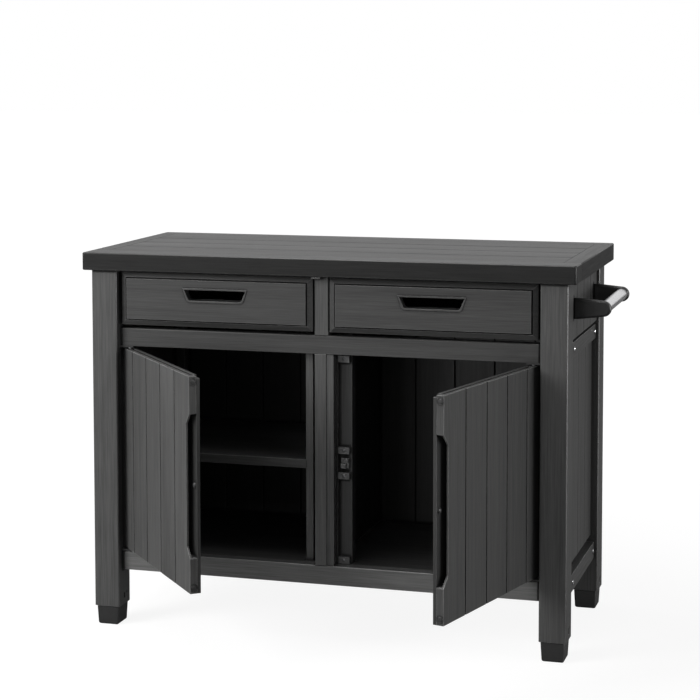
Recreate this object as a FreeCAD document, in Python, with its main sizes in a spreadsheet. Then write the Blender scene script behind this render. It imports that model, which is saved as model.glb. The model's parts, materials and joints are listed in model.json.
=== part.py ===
import FreeCAD, Part
import os
import Sketcher

# A free-standing outdoor grill cart with a plank worktop, two drawers,
# two cabinet doors, one shelf and a side handle.
# Lengths are millimetres and angles are degrees.
# Layout frame: x = 0 at the middle of the worktop, y = 0 at its front edge
# and growing to the back, z = 0 on the floor.

doc = FreeCAD.newDocument("grill_cart")
sheet = doc.addObject("Spreadsheet::Sheet", "Sizes")

# Two places nearer than this count as one place.
tiny = 0.01
# An edge direction is taken as straight along an axis within this fraction.
straight = 1e-6


class Formula:
    """A sheet expression together with the number it has now."""

    def __init__(self, text, value):
        self.text = text
        self.value = value

    def combine(self, other, sign, result):
        return Formula("(" + self.text + " " + sign + " " + formula(other).text + ")", result)

    def __add__(self, other):
        return self.combine(other, "+", self.value + formula(other).value)

    def __sub__(self, other):
        return self.combine(other, "-", self.value - formula(other).value)

    def __mul__(self, other):
        return self.combine(other, "*", self.value * formula(other).value)

    def __truediv__(self, other):
        return self.combine(other, "/", self.value / formula(other).value)

    def __neg__(self):
        return Formula("(0 - " + self.text + ")", -self.value)

    def __radd__(self, other):
        return formula(other) + self

    def __rsub__(self, other):
        return formula(other) - self

    def __rmul__(self, other):
        return formula(other) * self


def formula(number):
    """Turn a plain number into a formula and leave a formula as it is."""
    if isinstance(number, Formula):
        return number
    return Formula(str(number), float(number))


used_rows = []


def write_row(alias, content, note):
    row = str(len(used_rows) + 1)
    used_rows.append(alias)
    sheet.set("A" + row, note)
    sheet.set("B" + row, content)
    sheet.setAlias("B" + row, alias)


def size(alias, number, note):
    """A driving dimension: one named cell of the sheet."""
    write_row(alias, str(number), note)
    return Formula("Sizes." + alias, float(number))


def derived(alias, expression, note):
    """A cell that is worked out from driving dimensions."""
    write_row(alias, "=" + expression.text.replace("Sizes.", ""), note)
    return Formula("Sizes." + alias, expression.value)


# Overall sizes
top_length = size("top_length", 1180, "worktop length, left to right")
top_depth = size("top_depth", 570, "worktop depth, front to back")
total_height = size("total_height", 900, "floor to worktop surface")

# Worktop
skirt_height = size("skirt_height", 42, "height of the worktop's edge")
skirt_wall = size("skirt_wall", 10, "thickness of the edge skirt")
deck_thickness = size("deck_thickness", 22, "thickness of the worktop boards")
end_board_width = size("end_board_width", 41, "width of the boards at both ends")
front_board_depth = size("front_board_depth", 70, "depth of the front border board")
rear_board_depth = size("rear_board_depth", 53, "depth of the rear border board")
edge_bevel = size("edge_bevel", 2, "bevel of the worktop's outer edges")
seam_width = size("seam_width", 3.4, "width of a groove between planks")
seam_depth = size("seam_depth", 4.5, "depth of a groove between planks")
seam_floor = size("seam_floor", 1.8, "width of such a groove at its bottom")
door_seam_width = size("door_seam_width", 4.6, "width of a groove between a door's planks")
door_seam_depth = size("door_seam_depth", 6, "depth of a groove between a door's planks")
door_seam_floor = size("door_seam_floor", 3, "width of a door's groove at its bottom")
seam_gap = size("seam_gap", 0.6, "open joint between worktop boards")
batten_width = size("batten_width", 50, "width of a batten under the deck")
batten_thickness = size("batten_thickness", 18, "thickness of a batten under the deck")
batten_place = size("batten_place", 262, "distance of a batten from the middle")
corner_round = size("corner_round", 6, "rounding of the worktop's upright corners")

# Legs and feet
leg_width = size("leg_width", 63, "leg size left to right")
leg_depth = size("leg_depth", 70, "leg size front to back")
leg_inset = size("leg_inset", 20, "legs behind the worktop's ends")
leg_front_gap = size("leg_front_gap", 11, "front legs behind the worktop's edge")
leg_rear_gap = size("leg_rear_gap", 23, "rear legs ahead of the worktop's edge")
leg_edge = size("leg_edge", 2.5, "chamfer of the leg's long edges")
slot_height = size("slot_height", 13, "height of the small slot at the leg's foot")
slot_width = size("slot_width", 6, "width of the small slot")
slot_depth = size("slot_depth", 8, "depth of the small slot")
slot_lift = size("slot_lift", 14, "slot above the leg's lower end")
foot_height = size("foot_height", 46, "height of the foot caps")
foot_step = size("foot_step", 3.5, "foot cap inside the leg at the top")
foot_draft = size("foot_draft", 2.6, "draft of the foot cap's sides")
foot_edge = size("foot_edge", 2.5, "chamfer round the foot's sole")

# Front frame
rail_setback = size("rail_setback", 31, "front rails behind the worktop's edge")
rail_thickness = size("rail_thickness", 28, "front rails front to back")
rail_round = size("rail_round", 3, "rounding of the rails' upper front edge")
rail_end_round = size("rail_end_round", 8, "rounding of the rails' front ends")
mid_rail_low = size("mid_rail_low", 676, "underside of the rail below the drawers")
mid_rail_height = size("mid_rail_height", 43.5, "height of the rail below the drawers")
low_rail_low = size("low_rail_low", 134, "underside of the bottom rail")
low_rail_height = size("low_rail_height", 45, "height of the bottom rail")
stile_half = size("stile_half", 22.5, "half the width of the strip between the doors")
stile_depth = size("stile_depth", 36, "depth of the strip between the doors")
stile_step_place = size("stile_step_place", 5, "step in the strip, right of the middle")
stile_step = size("stile_step", 1.5, "how far the strip steps back on its right")
stile_rib = size("stile_rib", 3, "width of the rib on the right of the strip")
stile_rib_depth = size("stile_rib_depth", 11, "depth of that rib")
post_left = size("post_left", 54.5, "left side of the post from the middle")
post_right = size("post_right", 57.5, "right side of the post from the middle")
post_depth = size("post_depth", 25, "depth of the post behind the strip")
flange_width = size("flange_width", 17, "width of the post's flange left of the groove")
groove_depth = size("groove_depth", 17, "depth of the groove between flange and strip")
partition = size("partition", 18, "thickness of the wall between the compartments")
divider_half = size("divider_half", 16.5, "half the width of the drawer divider")
divider_shift = size("divider_shift", 6, "drawer divider left of the middle")
tab_width = size("tab_width", 22, "width of the tab at the divider's top")
tab_height = size("tab_height", 4.5, "height of that tab, below the worktop's skirt")
tab_front = size("tab_front", 2, "tab's front from the worktop's edge")

# Sides, back and floor
side_rail_inset = size("side_rail_inset", 30, "side rails behind the worktop's ends")
side_rail_thickness = size("side_rail_thickness", 24, "thickness of the side rails")
side_rail_upper_low = size("side_rail_upper_low", 675, "underside of the upper side rail")
side_rail_upper_height = size("side_rail_upper_height", 35, "height of the upper side rail")
side_rail_lower_low = size("side_rail_lower_low", 130, "underside of the lower side rail")
side_rail_lower_height = size("side_rail_lower_height", 40, "height of the lower side rail")
side_panel_inset = size("side_panel_inset", 39, "lower side panels behind the worktop's ends")
upper_panel_inset = size("upper_panel_inset", 28, "upper side panels behind the worktop's ends")
side_panel_thickness = size("side_panel_thickness", 15, "thickness of the side panels")
side_gap = size("side_gap", 8, "shadow gap above a side rail")
lower_gap = size("lower_gap", 4.5, "shadow gap below the upper side rail")
rail_tongue = size("rail_tongue", 3, "thickness of the rails' tongue behind the gaps")
tongue_lap = size("tongue_lap", 12, "tongue higher than the upper gap")
side_planks = size("side_planks", 4, "number of planks in a side panel")
rear_rail_thickness = size("rear_rail_thickness", 25, "thickness of the rear rails")
rear_rail_back = size("rear_rail_back", 2, "rear rails ahead of the legs' rear face")
rear_rail_height = size("rear_rail_height", 60, "height of the upper rear rail")
back_thickness = size("back_thickness", 12, "thickness of the back panel")
back_planks = size("back_planks", 10, "number of planks in the back panel")
floor_thickness = size("floor_thickness", 16, "thickness of the cabinet floor")

# Shelf
shelf_top = size("shelf_top", 420, "height of the shelf's surface")
shelf_thickness = size("shelf_thickness", 12, "thickness of the shelf")
shelf_lip = size("shelf_lip", 21, "height of the shelf's front edge")
shelf_lip_depth = size("shelf_lip_depth", 15, "depth of the shelf's front edge")
shelf_front = size("shelf_front", 66, "front of the shelf")
cleat = size("cleat", 15, "section of the strips under the shelf")
cleat_end = size("cleat_end", 12, "strips shorter than the shelf at both ends")

# Drawers
drawer_gap = size("drawer_gap", 4, "gap between a drawer front and the divider")
drawer_leg_gap = size("drawer_leg_gap", 7, "gap between a drawer front and the leg")
drawer_low = size("drawer_low", 728, "lower edge of the drawer fronts")
drawer_height = size("drawer_height", 126, "height of the drawer fronts")
drawer_setback = size("drawer_setback", 20, "drawer fronts behind the worktop's edge")
drawer_front_thickness = size("drawer_front_thickness", 24, "thickness of the drawer fronts")
drawer_border = size("drawer_border", 12, "width of the sloped border")
drawer_slope = size("drawer_slope", 5, "how far the border falls back to its outer edge")
drawer_raise = size("drawer_raise", 3.5, "how far the panel stands out of the border")
drawer_groove = size("drawer_groove", 2.8, "width of the groove round the panel")
drawer_groove_depth = size("drawer_groove_depth", 6, "depth of the groove round the panel")
pull_top = size("pull_top", 152, "width of the pull cut-out at its top")
pull_bottom = size("pull_bottom", 130, "width of the pull cut-out at its foot")
pull_height = size("pull_height", 25.5, "height of the pull cut-out")
pull_low = size("pull_low", 63, "cut-out above the drawer front's lower edge")
pull_round = size("pull_round", 7, "rounding of the cut-out's lower corners")
pull_rim = size("pull_rim", 4, "width of the raised rim round the cut-out")
pull_rim_height = size("pull_rim_height", 1.5, "height of the raised rim")
tray_wall = size("tray_wall", 10, "thickness of the tray's sides")
tray_bottom = size("tray_bottom", 8, "thickness of the tray's bottom")
tray_height = size("tray_height", 100, "height of the tray")
tray_back_gap = size("tray_back_gap", 34, "clearance behind a tray")
runner_web = size("runner_web", 6, "thickness of a runner's upright")
runner_height = size("runner_height", 46, "height of a runner's upright")
runner_ledge = size("runner_ledge", 22, "width of a runner's ledge")
runner_ledge_thickness = size("runner_ledge_thickness", 7, "thickness of a runner's ledge")
runner_front = size("runner_front", 46, "front end of the runners")
slide_gap = size("slide_gap", 1.5, "clearance between a tray's sides and its runners")
slide_lift = size("slide_lift", 0.3, "clearance between a tray and the ledges below it")

# Doors
door_width = size("door_width", 474, "width of a door")
door_low = size("door_low", 187, "lower edge of the doors")
door_height = size("door_height", 482, "height of the doors")
door_block = size("door_block", 17, "thickness of the plank front of a door")
door_skin = size("door_skin", 8, "thickness of the door's rear skin")
door_hinge_plank = size("door_hinge_plank", 74, "plank width next to the hinge")
door_plank = size("door_plank", 100, "width of the other planks")
hinge_from_leg = size("hinge_from_leg", 20, "hinge axis from the leg's inner face")
hinge_from_edge = size("hinge_from_edge", 14, "hinge axis from the door's hinge edge")
left_door_open = size("left_door_open", 50.5, "opening of the left door as modelled")
right_door_open = size("right_door_open", 75.5, "opening of the right door as modelled")
scoop_below_top = size("scoop_below_top", 82, "finger scoop below the door's top")
scoop_above_low = size("scoop_above_low", 78, "finger scoop above the door's foot")
scoop_slant = size("scoop_slant", 24, "height of the scoop's slanted ends")
scoop_depth = size("scoop_depth", 21, "depth of the scoop from the free edge")
scoop_lip = size("scoop_lip", 4, "thickness of the lip in front of the scoop's hollow")
scoop_hollow = size("scoop_hollow", 48, "depth of the hollow behind the lip")
scoop_margin = size("scoop_margin", 2, "hollow shorter than the scoop at both ends")
channel_width = size("channel_width", 8, "width of the channel in the door's top")
channel_depth = size("channel_depth", 12, "depth of the channel in the door's top")
stud_radius = size("stud_radius", 6, "radius of the stud in the scoop")
stud_height = size("stud_height", 5, "how far that stud stands off the rear skin")
stud_inset = size("stud_inset", 11, "stud's middle from the free edge")
skin_notch = size("skin_notch", 20, "length of the notch in the rear skin's top")
skin_notch_depth = size("skin_notch_depth", 5, "depth of that notch")
channel_margin = size("channel_margin", 18, "channel short of the door's edges")
pin_radius = size("pin_radius", 4, "radius of the hinge pins")
pin_length = size("pin_length", 34, "length of a hinge pin")
pin_stand = size("pin_stand", 6, "how far a hinge pin stands out of the door")
pin_clearance = size("pin_clearance", 0.3, "clearance round a hinge pin")
bracket_length = size("bracket_length", 34, "hinge bracket, left to right")
bracket_thickness = size("bracket_thickness", 4, "thickness of a hinge bracket")

# Catches and screws
catch_width = size("catch_width", 27, "width of a catch block")
catch_height = size("catch_height", 16, "height of a catch block")
catch_depth = size("catch_depth", 8, "thickness of a catch block")
catch_low = size("catch_low", 187.5, "height of the lowest catch block's middle")
catch_second = size("catch_second", 387.5, "height of the second catch block's middle")
catch_third = size("catch_third", 447, "height of the third catch block's middle")
catch_top = size("catch_top", 662, "height of the top catch block's middle")
striker_height = size("striker_height", 412, "height of the striker block's middle")
striker_width = size("striker_width", 13, "width of the striker block")
striker_tall = size("striker_tall", 14, "height of the striker block")
striker_depth = size("striker_depth", 10, "how far the striker block stands out")
block_drop = size("block_drop", 3, "how far the striker block ends below the top of its plate")
striker_side = size("striker_side", 6, "striker block right of the rib")
knob_radius = size("knob_radius", 6, "radius of the striker's round knob")
knob_right = size("knob_right", 6.5, "knob right of the block's middle")
knob_above = size("knob_above", 11, "knob above the block's middle")
knob_depth = size("knob_depth", 8, "how far the knob stands out")
knob_plate = size("knob_plate", 3, "thickness of the plate below block and knob")
screw_head = size("screw_head", 5.5, "radius of a rail screw's head")
screw_head_height = size("screw_head_height", 2.5, "height of a rail screw's head")
screw_shank = size("screw_shank", 2.5, "radius of a screw's shank")
screw_length = size("screw_length", 16, "length of a screw's shank")
screw_clearance = size("screw_clearance", 0.2, "clearance round a screw's shank")
small_head = size("small_head", 4, "radius of a small screw's head")
small_head_height = size("small_head_height", 1.5, "height of a small screw's head")
side_screw_front = size("side_screw_front", 76, "front rail screws behind the front legs")
side_screw_rear = size("side_screw_rear", 17, "rear rail screws ahead of the rear legs")
door_plug = size("door_plug", 7.5, "radius of the caps on a door's free edge")
door_screw_margin = size("door_screw_margin", 13, "door edge screws from top and bottom")

# Handle
bar_reach = size("bar_reach", 40, "handle bar beyond the worktop's end")
bar_height = size("bar_height", 791, "handle bar above the floor")
bar_radius = size("bar_radius", 14, "outer radius of the handle bar")
bar_wall = size("bar_wall", 1.6, "wall of the handle bar")
bar_socket = size("bar_socket", 8, "how deep the bar sits in each arm")
bar_clearance = size("bar_clearance", 0.15, "clearance round the bar in its arms")
arm_front_gap = size("arm_front_gap", 43, "front handle arm behind the front leg")
arm_rear_gap = size("arm_rear_gap", 44, "rear handle arm ahead of the rear leg")
arm_thickness = size("arm_thickness", 16, "thickness of a handle arm")
arm_root_height = size("arm_root_height", 48, "height of a handle arm at its root")
arm_root_drop = size("arm_root_drop", 25, "root of the arm below the bar's axis")
arm_root_flat = size("arm_root_flat", 12, "straight length of the arm's root")
arm_end_radius = size("arm_end_radius", 18, "radius of the arm's round end")
arm_edge = size("arm_edge", 2, "bevel of the arm's edges")

# Places worked out from the sizes above
half_top = derived("half_top", top_length / 2, "end of the worktop")
leg_outer = derived("leg_outer", half_top - leg_inset, "outer face of the legs")
leg_inner = derived("leg_inner", leg_outer - leg_width, "inner face of the legs")
front_leg_back = derived("front_leg_back", leg_front_gap + leg_depth, "back of the front legs")
rear_leg_back = derived("rear_leg_back", top_depth - leg_rear_gap, "back of the rear legs")
rear_leg_front = derived("rear_leg_front", rear_leg_back - leg_depth, "front of the rear legs")
side_rail_face = derived("side_rail_face", half_top - side_rail_inset, "outer face of the side rails")
side_panel_face = derived("side_panel_face", half_top - side_panel_inset, "outer face of the lower panels")
upper_panel_face = derived("upper_panel_face", half_top - upper_panel_inset, "outer face of the upper panels")
bar_axis = derived("bar_axis", half_top + bar_reach, "handle bar from the middle of the worktop")
arm_front = derived("arm_front", front_leg_back + arm_front_gap, "front face of the front handle arm")
arm_rear = derived("arm_rear", rear_leg_front - arm_rear_gap - arm_thickness, "front face of the rear arm")
deck_under = derived("deck_under", total_height - deck_thickness, "underside of the deck")
rail_back = derived("rail_back", rail_setback + rail_thickness, "back of the front rails")
mid_rail_top = derived("mid_rail_top", mid_rail_low + mid_rail_height, "top of the middle rail")
low_rail_top = derived("low_rail_top", low_rail_low + low_rail_height, "top of the bottom rail")
post_front = derived("post_front", rail_setback + stile_depth, "front of the centre post")
post_back = derived("post_back", post_front + post_depth, "back of the centre post")
rear_rail_front = derived(
    "rear_rail_front", rear_leg_back - rear_rail_back - rear_rail_thickness, "front of the rear rails"
)
back_front = derived("back_front", rear_rail_front - back_thickness, "front of the back panel")
side_inner = derived("side_inner", side_panel_face - side_panel_thickness, "inside of the side panels")
hinge_x = derived("hinge_x", leg_inner - hinge_from_leg, "hinge axis from the middle")
door_thickness = derived("door_thickness", door_block + door_skin, "thickness of a whole door")
hinge_y = derived("hinge_y", rail_setback + door_thickness / 2, "hinge axis from the worktop's edge")
divider_left = derived("divider_left", divider_half + divider_shift, "divider's left side from the middle")
divider_right = derived("divider_right", divider_half - divider_shift, "divider's right side from the middle")
drawer_outer = derived("drawer_outer", leg_inner - drawer_leg_gap, "outer end of a drawer front")
tray_gap = derived("tray_gap", runner_web + slide_gap, "tray's side from the wall of its runner")
runner_ledge_top = derived("runner_ledge_top", drawer_low + runner_ledge_thickness, "top of the ledges")
tray_low = derived("tray_low", runner_ledge_top + slide_lift, "underside of a tray")
drawer_back = derived("drawer_back", drawer_setback + drawer_front_thickness, "back of a drawer front")
tray_length = derived("tray_length", back_front - tray_back_gap - drawer_back, "length of a tray")

# Origin of the finished model: the middle of its bounding box, on the floor.
# The two cells are filled in after the first recompute.
origin_x = size("origin_x", 0, "model origin from the middle of the worktop")
origin_y = size("origin_y", 0, "model origin from the worktop's front edge")

zero = formula(0)
doc.recompute()
nodes = []


def place(item, x, y, z, turn=None):
    """Put an item at a place of the layout frame, turned about the vertical."""
    if turn is not None:
        item.Placement = FreeCAD.Placement(
            FreeCAD.Vector(0, 0, 0), FreeCAD.Rotation(FreeCAD.Vector(0, 0, 1), turn.value)
        )
        item.setExpression("Placement.Rotation.Angle", turn.text)
    item.setExpression("Placement.Base.x", (formula(x) - origin_x).text)
    item.setExpression("Placement.Base.y", (formula(y) - origin_y).text)
    item.setExpression("Placement.Base.z", formula(z).text)


def new_body(name, x, y, z, turn=None):
    body = doc.addObject("PartDesign::Body", name)
    body.Label = name
    place(body, x, y, z, turn)
    nodes.append(body)
    return body


def sketch_on(body, plane, name, offset=None):
    """A sketch on one of the body's own base planes, moved along its normal."""
    sketch = body.newObject("Sketcher::SketchObject", body.Label + "_" + name)
    support = [feature for feature in body.Origin.OriginFeatures if feature.Role == plane][0]
    sketch.AttachmentSupport = (support, [""])
    sketch.MapMode = "FlatFace"
    if offset is not None:
        sketch.setExpression("AttachmentOffset.Base.z", offset.text)
    return sketch


def pin_point(sketch, geometry, position, x, y):
    """Tie one point of a sketch to the values of the sheet."""
    if x.text == "0":
        sketch.addConstraint(Sketcher.Constraint("PointOnObject", geometry, position, -2))
    else:
        index = sketch.addConstraint(
            Sketcher.Constraint("DistanceX", -1, 1, geometry, position, x.value)
        )
        sketch.setExpression("Constraints[" + str(index) + "]", x.text)
    if y.text == "0":
        sketch.addConstraint(Sketcher.Constraint("PointOnObject", geometry, position, -1))
    else:
        index = sketch.addConstraint(
            Sketcher.Constraint("DistanceY", -1, 1, geometry, position, y.value)
        )
        sketch.setExpression("Constraints[" + str(index) + "]", y.text)


def draw_outline(sketch, corners):
    """A closed outline of straight lines through the given corners."""
    corners = [(formula(x), formula(y)) for x, y in corners]
    count = len(corners)
    first = sketch.GeometryCount
    for index in range(count):
        start = corners[index]
        end = corners[(index + 1) % count]
        line = Part.LineSegment(
            FreeCAD.Vector(start[0].value, start[1].value, 0),
            FreeCAD.Vector(end[0].value, end[1].value, 0),
        )
        sketch.addGeometry(line, False)
    for index in range(count):
        following = first + (index + 1) % count
        sketch.addConstraint(Sketcher.Constraint("Coincident", first + index, 2, following, 1))
    for index in range(count):
        pin_point(sketch, first + index, 1, corners[index][0], corners[index][1])


def draw_rectangle(sketch, x0, y0, x1, y1):
    draw_outline(sketch, [(x0, y0), (x1, y0), (x1, y1), (x0, y1)])


def draw_circle(sketch, x, y, radius):
    x = formula(x)
    y = formula(y)
    circle = Part.Circle(
        FreeCAD.Vector(x.value, y.value, 0), FreeCAD.Vector(0, 0, 1), radius.value
    )
    index = sketch.addGeometry(circle, False)
    pin_point(sketch, index, 3, x, y)
    radius_index = sketch.addConstraint(Sketcher.Constraint("Radius", index, radius.value))
    sketch.setExpression("Constraints[" + str(radius_index) + "]", radius.text)


def pad(body, sketch, length, backwards=False):
    feature = body.newObject("PartDesign::Pad", sketch.Label + "_pad")
    feature.Profile = sketch
    feature.setExpression("Length", length.text)
    feature.Reversed = backwards
    sketch.Visibility = False
    return feature


def pocket(body, sketch, length, backwards=False):
    feature = body.newObject("PartDesign::Pocket", sketch.Label + "_pocket")
    feature.Profile = sketch
    feature.setExpression("Length", length.text)
    feature.Reversed = backwards
    sketch.Visibility = False
    return feature


def loft(body, kind, lower, upper):
    feature = body.newObject("PartDesign::" + kind, lower.Label + "_loft")
    feature.Profile = lower
    feature.Sections = [upper]
    feature.Ruled = True
    lower.Visibility = False
    upper.Visibility = False
    return feature


def along(edge, axis):
    """True for a straight edge that runs along one axis of its body."""
    if len(edge.Vertexes) != 2:
        return False
    step = edge.Vertexes[1].Point - edge.Vertexes[0].Point
    return abs(abs(step.normalize()[axis]) - 1) < straight


def soften(body, kind, radius, chosen):
    """Fillet or chamfer the edges of the body's tip that pass a test."""
    doc.recompute()
    tip = body.Tip
    names = []
    for index, edge in enumerate(tip.Shape.Edges):
        if chosen(edge):
            names.append("Edge" + str(index + 1))
    feature = body.newObject("PartDesign::" + kind, body.Label + "_" + kind.lower())
    feature.Base = (tip, names)
    feature.setExpression("Radius" if kind == "Fillet" else "Size", radius.text)
    return feature


def board(name, x0, x1, y0, y1, z0, z1):
    """A plain board between two corners of the layout frame."""
    body = new_body(name, x0, y0, z0)
    sketch = sketch_on(body, "XY_Plane", "plan")
    draw_rectangle(sketch, zero, zero, formula(x1) - x0, formula(y1) - y0)
    pad(body, sketch, formula(z1) - z0)
    return body


def plank_outline(width, thickness, seams, outside, groove=None):
    """Section of a plank panel: narrowing grooves in one of its long sides.

    The section starts at the origin, runs along x for the width and lies
    between y = 0 and y = thickness. The seams are cut into the side y = 0
    where outside is false, else into the side y = thickness. A groove is given
    by its width, its depth and its width at the bottom.
    """
    wide, deep, floor = groove or (seam_width, seam_depth, seam_floor)
    half = wide / 2
    face = thickness if outside else zero
    depth = thickness - deep if outside else deep
    opposite = zero if outside else thickness
    corners = [(zero, face)]
    for seam in seams:
        corners.append((seam - half, face))
        corners.append((seam - floor / 2, depth))
        corners.append((seam + floor / 2, depth))
        corners.append((seam + half, face))
    corners.append((width, face))
    corners.append((width, opposite))
    corners.append((zero, opposite))
    return corners


def even_seams(width, count):
    """Seams between a whole number of equal planks."""
    number = int(count.value)
    return [width * index / number for index in range(1, number)]


def cylinder(name, radius, length, x, y, z, direction):
    """A round bar that starts at a place and runs along a direction."""
    item = doc.addObject("Part::Cylinder", name)
    turn = FreeCAD.Rotation(FreeCAD.Vector(0, 0, 1), direction)
    item.Placement = FreeCAD.Placement(FreeCAD.Vector(0, 0, 0), turn)
    item.setExpression("Radius", radius.text)
    item.setExpression("Height", length.text)
    item.setExpression("Placement.Base.x", formula(x).text)
    item.setExpression("Placement.Base.y", formula(y).text)
    item.setExpression("Placement.Base.z", formula(z).text)
    return item


def screw(name, head_radius, head_height, x, y, z, outward):
    """A screw whose head lies on a surface and whose shank goes into it."""
    head = cylinder(name + "_head", head_radius, head_height, x, y, z, outward)
    shank = cylinder(name + "_shank", screw_shank, screw_length, x, y, z, -outward)
    item = doc.addObject("Part::MultiFuse", name)
    item.Shapes = [head, shank]
    return item


def group(name, items, x, y, z, turn=None):
    """One node that holds several loose solids of the same kind."""
    item = doc.addObject("Part::Compound", name)
    item.Label = name
    item.Links = items
    place(item, x, y, z, turn)
    nodes.append(item)
    return item


def bore(body, plane, name, x, y, radius, depth, offset=None, backwards=False):
    """A round hole sunk from one of the body's planes."""
    sketch = sketch_on(body, plane, name, offset)
    draw_circle(sketch, x, y, radius)
    return pocket(body, sketch, depth, backwards)


# Worktop boards with their skirts
def near_any(number, *targets):
    return any(abs(number - target) < corner_round.value / 2 for target in targets)


def bevel_outer_edges(body, sides_x, sides_y):
    """Bevel the upper and lower edges that lie on the given outer sides."""
    def outer_rim(edge):
        centre = edge.CenterOfMass
        level = abs(centre.z) < tiny or abs(centre.z - skirt_height.value) < tiny
        return level and (near_any(centre.x, *sides_x) or near_any(centre.y, *sides_y))

    soften(body, "Chamfer", edge_bevel, outer_rim)


def build_border_board(name, depth, front_side):
    """Front or rear border board, as long as the worktop, with its skirt on three sides."""
    width = depth - seam_gap / 2
    start = zero if front_side else top_depth - width
    body = new_body(name, -half_top, start, total_height - skirt_height)
    block = sketch_on(body, "XY_Plane", "plan")
    draw_rectangle(block, zero, zero, top_length, width)
    pad(body, block, skirt_height)
    hollow = sketch_on(body, "XY_Plane", "hollow")
    if front_side:
        draw_rectangle(hollow, skirt_wall, skirt_wall, top_length - skirt_wall, width)
    else:
        draw_rectangle(hollow, skirt_wall, zero, top_length - skirt_wall, width - skirt_wall)
    pocket(body, hollow, skirt_height - deck_thickness, True)
    outer_y = 0 if front_side else width.value
    ends = (0, top_length.value)
    soften(
        body, "Fillet", corner_round,
        lambda edge: along(edge, 2)
        and near_any(edge.CenterOfMass.x, *ends)
        and near_any(edge.CenterOfMass.y, outer_y),
    )
    bevel_outer_edges(body, ends, (outer_y,))


def build_end_board(name, side):
    """Board across one end of the worktop, between the border boards, with its skirt."""
    left = -half_top if side < 0 else half_top - end_board_width
    start = front_board_depth + seam_gap / 2
    length = top_depth - front_board_depth - rear_board_depth - seam_gap
    body = new_body(name, left, start, total_height - skirt_height)
    block = sketch_on(body, "XY_Plane", "plan")
    draw_rectangle(block, zero, zero, end_board_width, length)
    pad(body, block, skirt_height)
    hollow = sketch_on(body, "XY_Plane", "hollow")
    inner_start = skirt_wall if side < 0 else zero
    inner_end = end_board_width if side < 0 else end_board_width - skirt_wall
    draw_rectangle(hollow, inner_start, zero, inner_end, length)
    pocket(body, hollow, skirt_height - deck_thickness, True)
    bevel_outer_edges(body, (0 if side < 0 else end_board_width.value,), ())


def build_deck():
    """Four long planks between the border boards, run left to right."""
    depth = top_depth - front_board_depth - rear_board_depth - seam_gap
    start = front_board_depth + seam_gap / 2
    body = new_body("top_deck", end_board_width - half_top + seam_gap / 2, start, deck_under)
    sketch = sketch_on(body, "YZ_Plane", "section")
    seams = even_seams(depth, formula(4))
    draw_outline(sketch, plank_outline(depth, deck_thickness, seams, True))
    pad(body, sketch, top_length - end_board_width * 2 - seam_gap)


def build_battens():
    """Two battens that hold the planks together from below."""
    items = []
    for name, side in (("left", -1), ("right", 1)):
        item = doc.addObject("Part::Box", "batten_" + name)
        item.setExpression("Length", batten_width.text)
        item.setExpression("Width", (back_front - rail_back).text)
        item.setExpression("Height", batten_thickness.text)
        item.setExpression("Placement.Base.x", (batten_place * side - batten_width / 2).text)
        items.append(item)
    group("top_battens", items, zero, rail_back, deck_under - batten_thickness)


build_border_board("top_front_board", front_board_depth, True)
build_border_board("top_rear_board", rear_board_depth, False)
build_end_board("top_end_board_left", -1)
build_end_board("top_end_board_right", 1)
build_deck()
build_battens()


# Legs with their foot caps
def build_leg(name, side, rear):
    left = -leg_outer if side < 0 else leg_inner
    front = rear_leg_front if rear else leg_front_gap
    body = new_body(name, left, front, foot_height)
    plan = sketch_on(body, "XY_Plane", "plan")
    draw_rectangle(plan, zero, zero, leg_width, leg_depth)
    pad(body, plan, deck_under - foot_height)
    soften(body, "Chamfer", leg_edge, lambda edge: along(edge, 2))
    for face, offset, inward in (("low", zero, True), ("high", leg_width, False)):
        slot = sketch_on(body, "YZ_Plane", "slot_" + face, offset)
        middle = leg_depth / 2
        draw_rectangle(
            slot, middle - slot_width / 2, slot_lift, middle + slot_width / 2, slot_lift + slot_height
        )
        pocket(body, slot, slot_depth, inward)
    return body


def build_foot(name, side, rear):
    """Tapered cap under a leg, drafted from its top to the floor."""
    left = -leg_outer if side < 0 else leg_inner
    front = rear_leg_front if rear else leg_front_gap
    body = new_body(name, left, front, zero)
    upper = sketch_on(body, "XY_Plane", "upper", foot_height)
    draw_rectangle(upper, foot_step, foot_step, leg_width - foot_step, leg_depth - foot_step)
    cap = pad(body, upper, foot_height, True)
    cap.setExpression("TaperAngle", (-foot_draft).text)
    soften(body, "Chamfer", foot_edge, lambda edge: edge.CenterOfMass.z < tiny)
    return body


for rear, depth_name in ((False, "front"), (True, "rear")):
    for side, side_name in ((-1, "left"), (1, "right")):
        build_leg("leg_" + depth_name + "_" + side_name, side, rear)
        build_foot("foot_" + depth_name + "_" + side_name, side, rear)


# Front frame
def build_front_rail(name, low, height):
    body = board(name, -leg_inner, leg_inner, rail_setback, rail_back, low, low + height)
    soften(
        body, "Fillet", rail_round,
        lambda edge: along(edge, 0)
        and abs(edge.CenterOfMass.y) < tiny
        and abs(edge.CenterOfMass.z - height.value) < tiny,
    )
    soften(
        body, "Fillet", rail_end_round,
        lambda edge: along(edge, 2) and abs(edge.CenterOfMass.y) < tiny,
    )
    return body


build_front_rail("mid_rail", mid_rail_low, mid_rail_height)
build_front_rail("bottom_rail", low_rail_low, low_rail_height)


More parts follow.
